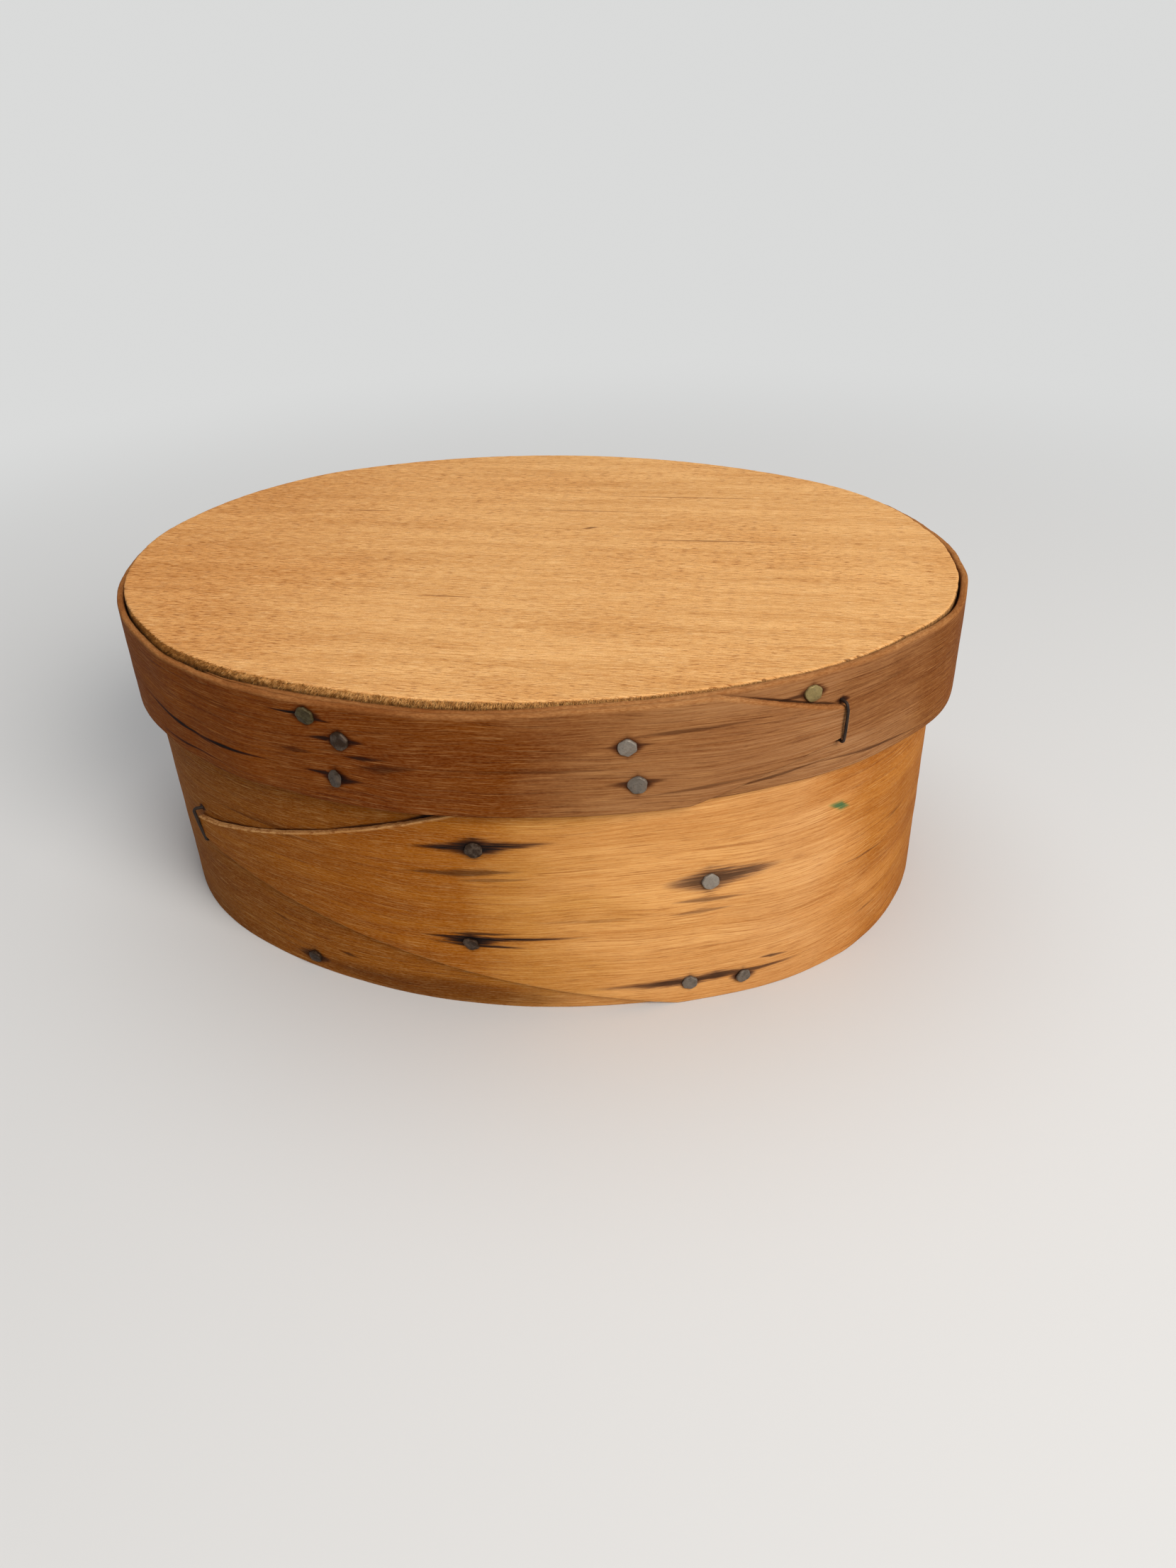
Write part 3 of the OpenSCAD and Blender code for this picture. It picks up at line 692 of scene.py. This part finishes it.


# The base colour goes from left to right, and carries painted light: shade on the side band's
# left and a sheen on both bands' right. It is multiplied by darker tints where the bands, fibres,
# dark lines and dashes are, and lightened on the pale lines. Stains go on top, with painted shade
# along the side band's foot and in the crevices round the heads, and on the layer below painted
# shadows in the gaps beside the finger's edge. The inner face and the cut edges have plainer
# colours, and the grain's height drives the bump.
def makeBandWood(name, look):
    material, tree, shader = newMaterial(name)
    grain, edge = attribute(tree, "grain")["Vector"], attribute(tree, "edge")["Fac"]
    s, z, outer = separate(tree, attribute(tree, "place")["Vector"])
    s = calc(tree, "WRAP", s, roundS / 2, -roundS / 2)
    place = combine(tree, s, z, outer)
    inputs = {"Grain": grain, "Wander": look["wander"], "Dash Length": look["dashLength"]}
    wood = useGroup(tree, grainGroup, inputs)
    wear = useGroup(tree, wearGroup, {"Place": grain, "Size": 26.0})
    # the base colour along s carries painted shade and a painted sheen as well as the wood's own tones
    softS = calc(tree, "ADD", s, span(tree, wear["Patch"], 0.3, 0.7, -16.0, 16.0))
    plain = ramp(tree, span(tree, softS, -alongReach, alongReach), look["along"])
    # the lower layer is the strip before it has gone nearly once round
    under = fade(tree, separate(tree, grain)[0], roundS - 90, roundS - 60)
    colour = darken(tree, under, plain, (look["lapShade"],) * 3)
    colour = darken(tree, fade(tree, wood["Band"], 0.38, 0.60), colour, look["bandTint"])
    colour = darken(tree, fade(tree, wood["Fibre"], 0.36, 0.60), colour, look["fibreTint"])
    colour = darken(tree, times(tree, wood["Dark Line"], look["lines"]), colour, look["darkTint"])
    colour = darken(tree, times(tree, wood["Dash"], 0.45), colour, look["darkTint"])
    pale = calc(tree, "MAXIMUM", wood["Pale Line"], wood["Fleck"])
    colour = mixColour(tree, times(tree, pale, look["pale"]), colour, look["paleTint"])
    grit = span(tree, wood["Grit"], 0.42, 0.62, 0.0, look["grit"])
    colour = mixColour(tree, grit, colour, look["paleTint"])
    worn = span(tree, wear["Patch"], 0.45, 0.75, 0.0, 0.5)
    colour = darken(tree, worn, colour, look["bandTint"])
    # stains and cracks, with painted shade along the side band's foot and painted crevice shade in the
    # rings round the heads
    colour = layDarkMarks(tree, place, colour, look["darkMarks"], look["tints"])
    # painted shadows in the gaps beside the finger's upper edge, kept to the layer below
    gapShaded = layDarkMarks(tree, place, colour, look["gaps"], look["tints"])
    colour = mixColour(tree, under, colour, gapShaded)
    if "paint" in look:
        colour = layDarkMarks(tree, place, colour, look["paint"], look["paintTints"])
    inner = fade(tree, wood["Fibre"], 0.35, 0.65)
    colour = mixColour(tree, outer, darken(tree, inner, look["inside"], look["fibreTint"]), colour)
    cut = mixColour(tree, look["cutShare"], plain, look["cut"])
    cut = darken(tree, fade(tree, wood["Grit"], 0.40, 0.60, 0.7), cut, look["fibreTint"])
    cut = darken(tree, span(tree, wear["Patch"], 0.40, 0.66), cut, look["fibreTint"])
    broken = noise(tree, scaled(tree, grain, 0.35, 0.35, 1.3), 4.0, 0.72)
    broken = span(tree, broken, 0.50, 0.60, 0.0, look["broken"])
    colour = mixColour(tree, edge, colour, darken(tree, broken, cut, look["darkTint"]))
    rough = span(tree, wood["Fibre"], 0.35, 0.65, *look["roughness"])
    rough = calc(tree, "MULTIPLY_ADD", edge, 0.2, rough)
    finishShader(tree, shader, colour, rough, woodGloss, wood["Height"], look["bump"], grainDepth)
    return material


sideWood = makeBandWood("sideWood", sideLook)
lidWood = makeBandWood("lidWood", lidLook)

for name, strip, wood, body, node, slot in (
    ("sideStrip", sideStrip, sideWood, "box", "side_band", "tan_band"),
    ("lidStrip", lidStrip, lidWood, "lid", "lid_band", "walnut_band"),
):
    piece = makePiece(name, *stripSkin(strip))
    dress(piece, wood, body, node)
    print(name, "made:", len(piece.data.polygons), "faces")

lidBoard = {
    "low": 87.5, "high": 95.5, "edge": 3.5, "seed": 21, "round": 0.5, "fray": 0.35,
    "bulge": [
        (-162, 0.5), (-140, -0.1), (-98, -0.6), (-76, 1.05), (-60, 1.15), (-44, 0.5), (-28, 0.0),
        (-8, 0.2), (10, 0.0), (30, -0.5), (60, -0.7), (85, -0.9), (108, -0.7), (133, 1.7), (150, 1.2),
        (166, 0.2), (190, -1.0), (230, -0.8), (-235, 1.0), (-210, 0.0), (-185, -0.3),
    ],
}
baseBoard = {
    "low": 0.0, "high": 8.5, "edge": -0.15, "seed": 31, "round": 0.3, "fray": 0.1, "bulge": [(0, 0)],
}


# Rings of the oval: from the middle of the top out to the edge, over the rounded arris, down
# the wall and in under the board. The wall and arris are frayed by ripples along the edge.
def boardSkin(board):
    s = np.arange(0, roundS, 1.3)
    fray = board["fray"] * (0.5 * ripple(s, 9, board["seed"]) + 0.5 * ripple(s, 2.9, board["seed"] + 1))
    edge = board["edge"] + around(s, board["bulge"]) - np.abs(fray)
    x, y, nx, ny = onOval(s, edge)
    r, low, high = board["round"], board["low"], board["high"]
    rings = []
    # shares of the way to the edge, where the top dips a little and unevenly
    for f in (0.02, 0.15, 0.3, 0.45, 0.6, 0.72, 0.82, 0.9, 0.95, 0.98):
        dip = -0.06 + 0.10 * ripple(x * f + 2 * y * f, 130, board["seed"] + 5) * (f < 0.9)
        rings.append(np.stack([x * f, y * f, np.full_like(s, high) + np.minimum(dip, 0)], -1))
    wall = high - low
    # distances back from the edge and down from the top
    profile = [
        (r + 0.5, 0), (r, 0), (r * 0.3, r * 0.25), (0, r), (0, 0.35 * wall), (0.05, 0.6 * wall),
        (0, wall - 0.3), (0.3, wall),
    ]
    for back, down in profile:
        inset = back + (0.4 * fray if down > 0 else 0)
        rings.append(np.stack([x - nx * inset, y - ny * inset, np.full_like(s, high - down)], -1))
    for f in (0.9, 0.5, 0.02):
        rings.append(np.stack([x * f, y * f, np.full_like(s, low)], -1))
    return ringSkin(np.array(rings))


# s and size
chips = [(71, 0.7), (93, 1.6), (96, 0.7), (112, 1.4), (-124, 1.7), (-136, 1.2)]


# Small dark chips at the top's edge, as stains on the board
def edgeChips(board):
    at = np.array([s for s, size in chips], float)
    x, y, _, _ = onOval(at, board["edge"] + around(at, board["bulge"]) - 0.2)
    places = zip(x.tolist(), y.tolist(), chips)
    return [(a, b, size, size, 0.4, 0.3, 0.8, 0.7) for a, b, (_, size) in places]


boardLook = {
    "pale": (0.86, 0.50, 0.205), "deep": (0.62, 0.30, 0.090), "dullTint": (0.90, 0.80, 0.68),
    "fibreTint": (0.80, 0.68, 0.54), "darkTint": (0.40, 0.24, 0.14), "paleTint": (0.98, 0.66, 0.33),
    "figureTint": (0.60, 0.42, 0.28), "edge": (0.42, 0.21, 0.072), "edgeDark": (0.13, 0.058, 0.018),
    "roughness": (0.55, 0.70), "bump": 0.4,
    "darkMarks": [
        (14.0, 20.0, 3.2, 3.2, 0.6, 0.3, 0.2, 0.8), (50.0, 12.0, 26, 34, 0.5, 0.02, 0.9, 0.6),
        (-18.0, -32.0, 10, 12, 0.4, 0.0, 1.0, 0.6), (-60.0, 30.0, 9, 12, 0.4, 0.0, 1.0, 0.6),
        (40.0, 48.0, 30, 34, 0.5, 0.0, 1.0, 0.5), (8.0, 34.0, 24, 30, 0.5, 0.0, 1.0, 0.45),
    ] + edgeChips(lidBoard),
    "tints": ((0.05, 0.024, 0.012), (0.55, 0.42, 0.34)),
}


# Grain runs along X. Bands, fibres, dark lines and short dashes darken the honey colour, pale
# lines lighten it, and the left is duller. There a second set of dashes lies aslant. The wall
# below the top is brown.
def makeBoardWood(name, look, top):
    material, tree, shader = newMaterial(name)
    flat = placeInMm(tree)
    x, _, z = separate(tree, flat)
    drawn = scaled(tree, flat, 2.3, 1.2, 1.0)
    wood = useGroup(tree, grainGroup, {"Grain": drawn, "Wander": 2.2, "Dash Length": 7.0})
    wear = useGroup(tree, wearGroup, {"Place": flat, "Size": 34.0})
    colour = mixColour(tree, fade(tree, wood["Band"], 0.30, 0.62, 0.55), look["pale"], look["deep"])
    toLeft = span(tree, x, -118.0, 10.0, 0.8, 0.0, smooth=True)
    colour = darken(tree, toLeft, colour, look["dullTint"])
    colour = darken(tree, fade(tree, wood["Fibre"], 0.36, 0.60, 0.85), colour, look["fibreTint"])
    colour = darken(tree, wood["Dark Line"], colour, look["fibreTint"])
    colour = darken(tree, fade(tree, wood["Grit"], 0.40, 0.60, 0.6), colour, look["fibreTint"])
    pale = calc(tree, "MAXIMUM", wood["Pale Line"], wood["Fleck"])
    colour = mixColour(tree, times(tree, pale, 0.5), colour, look["paleTint"])
    crowd = span(tree, wear["Patch"], 0.38, 0.60, 0.5, 1.0)
    colour = darken(tree, times(tree, wood["Dash"], crowd), colour, look["darkTint"])
    slant = {"Vector": flat, "Rotation": (0, 0, -0.45), "Scale": (0.3, 1.5, 0)}
    slanted = put(tree, "ShaderNodeMapping", slant).outputs[0]
    figure = span(tree, noise(tree, slanted, 3.0, 0.6), 0.52, 0.68)
    figure = times(tree, figure, span(tree, x, -90.0, -5.0, 0.75, 0.1, smooth=True))
    colour = darken(tree, figure, colour, look["figureTint"])
    colour = darken(tree, span(tree, wear["Patch"], 0.48, 0.75, 0.0, 0.7), colour, look["dullTint"])
    colour = darken(tree, times(tree, wear["Speck"], 0.3), colour, look["darkTint"])
    colour = layDarkMarks(tree, flat, colour, look["darkMarks"], look["tints"])
    rough = noise(tree, scaled(tree, flat, 1.6, 1.6, 0.35), 4.0, 0.7)
    wall = mixColour(tree, span(tree, rough, 0.36, 0.62), look["edgeDark"], look["edge"])
    colour = mixColour(tree, fade(tree, z, top - 0.5, top - 0.15), colour, wall)
    rough = span(tree, wood["Fibre"], 0.35, 0.65, *look["roughness"])
    finishShader(tree, shader, colour, rough, woodGloss, wood["Height"], look["bump"], grainDepth)
    return material


lidBoardWood = makeBoardWood("lidBoardWood", boardLook, lidBoard["high"])
baseTints = {"pale": (0.70, 0.42, 0.19), "deep": (0.54, 0.28, 0.10), "edge": (0.5, 0.27, 0.1)}
baseBoardWood = makeBoardWood("baseBoardWood", boardLook | baseTints, baseBoard["high"] + 5)

for name, board, wood, body, node, slot in (
    ("lidTop", lidBoard, lidBoardWood, "lid", "lid_board", "honey_board"),
    ("bottomBoard", baseBoard, baseBoardWood, "box", "base_board", "base_wood"),
):
    points, *faces = boardSkin(board)
    dress(makePiece(name, points, faces), wood, body, node)
    print(name, "made")

fuzz = {
    "count": 8200, "from": -108, "to": 62, "longest": 1.75, "shortest": 0.8, "thick": 0.075,
    "spread": 0.17, "rise": (-0.55, 0.30), "seed": 5,
}


# Each fibre is a three-sided spike: three points round its foot in the board's wall and one at
# its tip, which leans out, up or down by a repeatable random amount. Fibres are shorter towards
# both ends of their stretch.
def fuzzSkin(fuzz):
    rng = np.random.default_rng(fuzz["seed"])
    n = fuzz["count"]
    s = rng.uniform(fuzz["from"], fuzz["to"], n)
    full = ease((s - fuzz["from"]) / 30) * ease((fuzz["to"] - s) / 50)
    length = rng.uniform(fuzz["shortest"], fuzz["longest"], n) * (0.30 + 0.70 * full)
    edge = lidBoard["edge"] + around(s, lidBoard["bulge"])
    z = rng.uniform(lidStrip["high"] + 0.1, lidBoard["high"] - 0.12, n)
    x, y, nx, ny = onOval(s, edge - 0.55)  # the feet stand in the wood
    foot = np.stack([x, y, z], -1)
    outward, along = np.stack([nx, ny, 0 * nx], -1), np.stack([-ny, nx, 0 * nx], -1)
    up = np.array([0, 0, 1.0])
    lean = along * rng.normal(0, fuzz["spread"], n)[:, None]
    lean += outward * rng.uniform(0.7, 1.0, n)[:, None]
    lean += up * rng.uniform(*fuzz["rise"], n)[:, None]
    lean /= np.linalg.norm(lean, axis=1)[:, None]
    tip = foot + lean * (length + 0.5)[:, None]
    tip[:, 2] = np.minimum(tip[:, 2], lidBoard["high"] + 0.15)
    turn = np.array([0, 2.094, 4.189])  # thirds of a turn
    ring = foot[:, None] + fuzz["thick"] * (
        np.cos(turn)[None, :, None] * along[:, None] + np.sin(turn)[None, :, None] * up[None, None]
    )
    points = np.concatenate([ring, tip[:, None]], 1).reshape(-1, 3)
    base = np.arange(n)[:, None] * 4
    triangles = np.concatenate([base + [0, 1, 3], base + [1, 2, 3], base + [2, 0, 3], base + [0, 2, 1]])
    toTip = np.tile([0.0, 0.0, 0.0, 1.0], n)
    toTip -= 1.5 * np.repeat(1 - ease((s + 105) / 85), 4)  # darker towards the left
    return points, triangles, {"toTip": toTip}


# Fibres are brown at the foot and paler towards the tip, each a little different
def makeFuzzWood():
    material, tree, shader = newMaterial("fuzzWood")
    flat = placeInMm(tree)
    tone = noise(tree, scaled(tree, flat, 0.9, 0.9, 0.9), 2.0)
    tone = calc(tree, "MULTIPLY_ADD", attribute(tree, "toTip")["Fac"], 0.20, tone)
    top = lidBoard["high"]
    shade = span(tree, separate(tree, flat)[2], top - 2.0, top - 1.0, -0.22, 0.0)
    tone = calc(tree, "ADD", tone, shade)
    stops = [(0.36, (0.19, 0.070, 0.014)), (0.52, (0.46, 0.200, 0.052)), (0.76, (0.82, 0.46, 0.155))]
    tree.links.new(ramp(tree, tone, stops), shader.inputs["Base Color"])
    shader.inputs["Roughness"].default_value = 0.8
    shader.inputs["Specular IOR Level"].default_value = woodGloss
    return material


points, triangles, attributes = fuzzSkin(fuzz)
fibres = makePiece("lidTopFibres", points, [triangles], attributes, smooth=False)
dress(fibres, makeFuzzWood(), "lid")
print("torn fibres made:", fuzz["count"])


# From a local frame (across the bend to the right, up, outward) at a place on a band to the box
def seat(s, z, out, points):
    x, y, nx, ny = (float(v) for v in onOval(s, out))
    axes = np.array([[-ny, nx, 0], [0, 0, 1], [nx, ny, 0]])
    return np.array([x, y, z]) + np.asarray(points) @ axes


# A hammered head: its outline is a circle flattened by a few chords, its top a shallow dish with
# a rolled rim, headHeight * (0.86 + 0.12 * share**3 - 0.55 * roll**2.2), cut by two slanting
# planes. Share goes from 0 in the middle to 1 at the rim, and roll over its last 0.14. The head is
# tilted as a whole and stands on its shank.
def headSkin(radius, seed, tilt, deep, kind):
    rng = np.random.default_rng(100 + seed)
    turn = np.linspace(0, 2 * math.pi, 48, endpoint=False)
    outline = 1 + 0.025 * np.cos(2 * turn + rng.uniform(0, 6))
    outline += 0.015 * np.cos(3 * turn + rng.uniform(0, 6))
    sides = rng.integers(5, 9)
    for k in range(sides):
        chord = rng.uniform(0.90, 0.975)
        away = np.cos(turn - 2 * math.pi * (k + rng.uniform(-0.2, 0.2)) / sides)
        outline = np.minimum(outline, np.where(away > 0.3, chord / np.maximum(away, 0.3), 9))
    # two hammered planes: direction, slope and level in head heights
    planes = [(rng.uniform(0, 6.28), rng.uniform(0.25, 0.5), rng.uniform(0.95, 1.2)) for _ in range(2)]
    px, py = radius * outline * np.cos(turn), radius * outline * np.sin(turn)
    rings = []
    for share in (0.06, 0.3, 0.52, 0.68, 0.79, 0.87, 0.93, 0.97, 0.99, 1.0):
        roll = max(share - 0.86, 0) / 0.14
        height = np.full_like(px, headHeight * (0.86 + 0.12 * share**3 - 0.55 * roll**2.2))
        for angle, slope, level in planes:
            away = share * (px * math.cos(angle) + py * math.sin(angle)) - 0.25 * radius
            height = np.minimum(height, headHeight * level - slope * np.maximum(away, 0))
        rings.append(np.stack([share * px, share * py, np.maximum(height, 0.22)], -1))
    for share, z in ((0.985, 0.08), (0.95, -0.02), (0.6, -0.05), (shankRadius / radius, -0.1)):
        rings.append(np.stack([share * px, share * py, np.full_like(turn, z)], -1))
    rings = np.array(rings)
    a, b = math.radians(tilt[0]), math.radians(tilt[1])
    slant = np.array([[math.cos(a), 0, math.sin(a)], [0, 1, 0], [-math.sin(a), 0, math.cos(a)]])
    slant = slant @ np.array([[1, 0, 0], [0, math.cos(b), math.sin(b)], [0, -math.sin(b), math.cos(b)]])
    lift = 0.3 * radius * max(abs(math.sin(a)), abs(math.sin(b)))  # a tilted head stands higher
    rings = rings @ slant.T + np.array([0, 0, lift])
    # a nail's shank ends in a point, a tack's is clenched over on the inside
    if kind == "nail":
        path = [(0, 0, -0.05), (0, 0, 2.2 - nailLength), (0, 0, -nailLength)]
        sizes = [shankRadius, shankRadius, 0.12]
    else:
        bend = np.linspace(0, math.pi / 2, 6)[1:]
        path = [(0, 0, -0.05), (0, 0, 0.7 - deep)]
        path += [(0.45 - 0.45 * math.cos(t), 0, 0.7 - deep - 0.2 * math.sin(t)) for t in bend]
        path += [(1.6, 0, 0.47 - deep), (2.9, 0, 0.42 - deep)]
        sizes = [shankRadius, shankRadius, 0.6, 0.55, 0.5, 0.45, 0.4, 0.36, 0.1]
    return [ringSkin(rings), wireSkin(path, sizes)]


metalLook = {
    "iron": {
        "low": (0.028, 0.013, 0.005), "high": (0.30, 0.262, 0.218), "rust": (0.080, 0.042, 0.020),
        "metallic": (0.15, 0.5), "roughness": (0.46, 0.66),
    },
    "brass": {
        "low": (0.030, 0.019, 0.004), "high": (0.30, 0.22, 0.085), "rust": (0.045, 0.038, 0.014),
        "metallic": (0.15, 0.5), "roughness": (0.44, 0.64),
    },
    "wire": {
        "low": (0.007, 0.004, 0.003), "high": (0.050, 0.031, 0.019), "rust": (0.04, 0.017, 0.008),
        "metallic": (0.0, 0.15), "roughness": (0.55, 0.7),
    },
}


metalGloss, pitDepth = 0.25, 0.00012


# Old metal: a tone from low to high as the piece's attribute says, with tarnish in patches and
# fine pits
def makeMetal(name, look):
    material, tree, shader = newMaterial(name)
    flat = placeInMm(tree)
    patch = noise(tree, scaled(tree, flat, 0.5, 0.5, 0.5, (3, 1, 7)), 4.0, 0.6)
    fine = noise(tree, scaled(tree, flat, 2.6, 2.6, 2.6), 3.0, 0.6)
    uneven = times(tree, calc(tree, "SUBTRACT", patch, 0.5), 0.8)
    # the piece's tone, which on the heads carries painted shade on the left and painted light on the
    # right as well as tarnish
    tone = calc(tree, "ADD", attribute(tree, "tone")["Fac"], uneven, clamp=True)
    colour = mixColour(tree, tone, look["low"], look["high"])
    colour = mixColour(tree, span(tree, patch, 0.50, 0.70, 0.0, 0.6), colour, look["rust"])
    colour = mixColour(tree, span(tree, fine, 0.55, 0.75, 0.0, 0.45), colour, look["low"])
    metallic = span(tree, patch, 0.62, 0.42, *look["metallic"])
    tree.links.new(metallic, shader.inputs["Metallic"])
    rough = span(tree, fine, 0.35, 0.7, *look["roughness"])
    finishShader(tree, shader, colour, rough, metalGloss, fine, 0.35, pitDepth)
    return material


metals = {name: makeMetal(name + "Metal", look) for name, look in metalLook.items()}
strips = {"side": sideStrip, "lid": lidStrip}
bodies = {"side": "box", "lid": "lid"}


# Makes one piece of a node's skins, named after the node, with one tone for all of its metal
def finishFastener(node, skins, metal, slot, body, tone=0.3):
    first, *rest = node.split("_")
    name = first + "".join(word.capitalize() for word in rest)
    points, faces = joinSkins(skins)
    piece = makePiece(name, points, faces, {"tone": np.full(len(points), tone)})
    dress(piece, metals[metal], body, node)


# A head and its shank on a band, as deep as the layers that they go through
def seatedHead(which, s, z, radius, lapped, kind, tilt, seed):
    strip = strips[which]
    out = float(faceOut(strip, s, z, lapped))
    deep = out - strip["base"] - float(bulge(strip, s, z))
    return [(seat(s, z, out, p), q, t) for p, q, t in headSkin(radius, seed, tilt, deep, kind)]


# The metal and the slot of a head: the lid's nails are brass, all the others iron
def headMetal(which, kind):
    return ("brass", "old_brass") if (which, kind) == ("lid", "nail") else ("iron", "dull_iron")


for node, (which, s, z, radius, lapped, kind, tilt, seed, tone) in fasteners.items():
    skins = seatedHead(which, s, z, radius, lapped, kind, tilt, seed)
    finishFastener(node, skins, *headMetal(which, kind), bodies[which], tone)

for node, which in (("base_nails_back", "side"), ("lid_nails_back", "lid")):
    skins = []
    for i in (-1, 0, 1):
        s, seed = roundS / 2 + i * backPitch, 20 + i + 5 * (which == "lid")
        skins += seatedHead(which, s, backNails[which], backRadius, False, "nail", (5 * i, 4), seed)
    finishFastener(node, skins, *headMetal(which, "nail"), bodies[which])

staples = {
    "side_staple": {
        "strip": "side", "s": -90.6, "z": 35.3, "crown": 2.0, "height": 10.2, "wire": 0.45,
        "lean": -1.3, "bow": 0.1, "rise": 0.35,
    },
    "lid_staple": {
        "strip": "lid", "s": 90.1, "z": 81.3, "crown": 2.45, "height": 10.8, "wire": 0.4,
        "lean": 0.2, "bow": 0.35, "rise": 0.0,
    },
}


# The wire runs out of the wood, turns a quarter circle, crosses the finger's tip with a slight
# bow and goes back in, where its ends are bent towards each other.
def stapleSkin(staple, deep):
    half, crown, bend = staple["height"] / 2, staple["crown"], 1.0
    quarter = np.linspace(0, math.pi / 2, 7)
    leg = [(2.9, 0.5 - deep), (0.7, 0.5 - deep), (0.15, 0.62 - deep), (0, 1.0 - deep), (0, 0.2)]
    leg = [(0, half - inwards, z) for inwards, z in leg]
    leg += [(0, half - bend + bend * math.cos(t), crown - bend + bend * math.sin(t)) for t in quarter]
    across = np.linspace(half - 2, 2 - half, 9)
    top = [(0, y, crown + staple["bow"] * (1 - (y / half) ** 2)) for y in across]
    path = np.array(leg + top + [(x, -y, z) for x, y, z in leg[::-1]])
    aloft = path[:, 1] / half * np.clip(path[:, 2] / crown, 0, 1)
    path += np.outer(aloft, (staple["lean"], 0, staple["rise"]))
    path[:, 0] += 0.12 * ripple(path[:, 1], 7, 4)
    return wireSkin(path, staple["wire"], 14)


for node, staple in staples.items():
    which, s, z = staple["strip"], staple["s"], staple["z"]
    out = float(faceOut(strips[which], s, z, False))
    p, q, t = stapleSkin(staple, strips[which]["thick"])
    finishFastener(node, [(seat(s, z, out, p), q, t)], "wire", "dull_iron", bodies[which])
print("tacks, nails and staples made")


# A lamp is azimuth and elevation in degrees, distance and width in metres, and watts. The floor's
# reach and fade are metres too.
lights = {
    "key": (-44, 37, 1.5, 0.8, 21.0), "top": (110, 75, 1.5, 1.4, 8.0), "world": 0.28,
    "background": (0.70, 0.705, 0.70), "floor": (0.66, 0.655, 0.645), "floorReach": 30.0,
    "fade": (0.22, 0.62),
}


# 1 for rays of the given kinds
def rayIs(tree, *kinds):
    rays = put(tree, "ShaderNodeLightPath").outputs
    seen = 0.0
    for kind in kinds:
        seen = calc(tree, "MAXIMUM", seen, rays[kind])
    return seen


# A wide plane. Further off than the fade it shows the backdrop's own colour to the camera.
def makeFloor():
    mesh = bpy.data.meshes.new("floor")
    r = lights["floorReach"]
    mesh.from_pydata([(-r, -r, 0), (r, -r, 0), (r, r, 0), (-r, r, 0)], [], [(0, 1, 2, 3)])
    floor = bpy.data.objects.new("floor", mesh)
    bpy.context.scene.collection.objects.link(floor)
    material, tree, shader = newMaterial("paleFloor")
    shader.inputs["Base Color"].default_value = (*lights["floor"], 1)
    shader.inputs["Roughness"].default_value = 0.9
    shader.inputs["Specular IOR Level"].default_value = 0.1
    coords = put(tree, "ShaderNodeTexCoord").outputs["Object"]
    away = put(tree, "ShaderNodeVectorMath", {0: coords}, operation="LENGTH").outputs["Value"]
    seen = rayIs(tree, "Is Camera Ray", "Is Glossy Ray")
    far = times(tree, seen, span(tree, away, *lights["fade"], smooth=True))
    glow = put(tree, "ShaderNodeEmission", {"Color": (*lights["background"], 1), "Strength": 1.0})
    both = put(tree, "ShaderNodeMixShader", {0: far, 1: shader.outputs[0], 2: glow.outputs[0]})
    surface = next(node for node in tree.nodes if node.bl_idname == "ShaderNodeOutputMaterial")
    tree.links.new(both.outputs[0], surface.inputs[0])
    mesh.materials.append(material)


makeFloor()


# A round lamp at azimuth and elevation from the box's middle, turned towards it
def addLamp(name, azimuth, elevation, distance, size, power, colour):
    data = bpy.data.lights.new(name, "AREA")
    data.shape, data.size, data.energy, data.color = "DISK", size, power, colour
    lamp = bpy.data.objects.new(name, data)
    bpy.context.scene.collection.objects.link(lamp)
    a, e = math.radians(azimuth), math.radians(elevation)
    middle = Vector((0, 0, 0.05))
    towards = Vector((math.cos(a) * math.cos(e), math.sin(a) * math.cos(e), math.sin(e)))
    lamp.location = middle + distance * towards
    lamp.rotation_euler = (middle - lamp.location).to_track_quat("-Z", "Y").to_euler()


addLamp("keyLamp", *lights["key"], (1.0, 0.97, 0.93))
addLamp("topLamp", *lights["top"], (0.97, 0.98, 1.0))

world = bpy.data.worlds.new("softRoom")
bpy.context.scene.world = world
world.use_nodes = True
tree = world.node_tree
tree.nodes.clear()
seen = rayIs(tree, "Is Camera Ray", "Is Glossy Ray", "Is Transmission Ray")
skies = (((0.96, 0.98, 1.0, 1), lights["world"]), ((*lights["background"], 1), 1.0))
plainSky, seenSky = (
    put(tree, "ShaderNodeBackground", {"Color": colour, "Strength": strength}).outputs[0]
    for colour, strength in skies
)
mix = put(tree, "ShaderNodeMixShader", {0: seen, 1: plainSky, 2: seenSky})
tree.links.new(mix.outputs[0], put(tree, "ShaderNodeOutputWorld").inputs[0])

# Where the photograph was taken from: focal length and long side in pixels, place in millimetres
# and angles in degrees
view = {
    "focal": 1661, "longSide": 2212, "place": (74.416, -313.485, 225.559),
    "pitch": 33.2603, "yaw": -10.9821, "roll": -2.5773,
}
pitch, yaw, roll = (math.radians(view[k]) for k in ("pitch", "yaw", "roll"))
forward = Vector((math.sin(yaw) * math.cos(pitch), math.cos(yaw) * math.cos(pitch), -math.sin(pitch)))
level = Vector((math.cos(yaw), -math.sin(yaw), 0))
upright = level.cross(forward)
right = level * math.cos(roll) + upright * math.sin(roll)
up = upright * math.cos(roll) - level * math.sin(roll)
cameraData = bpy.data.cameras.new("camera")
cameraData.sensor_width = 36
cameraData.lens = view["focal"] * 36 / view["longSide"]
cameraData.clip_start = 0.01
camera = bpy.data.objects.new("camera", cameraData)
bpy.context.scene.collection.objects.link(camera)
camera.matrix_world = Matrix.Translation(Vector(view["place"]) * mm) @ Matrix(
    [[right[i], up[i], -forward[i]] for i in range(3)]
).to_4x4()
bpy.context.scene.camera = camera
bpy.context.scene.view_settings.view_transform = "Standard"
print("floor, light and camera set")
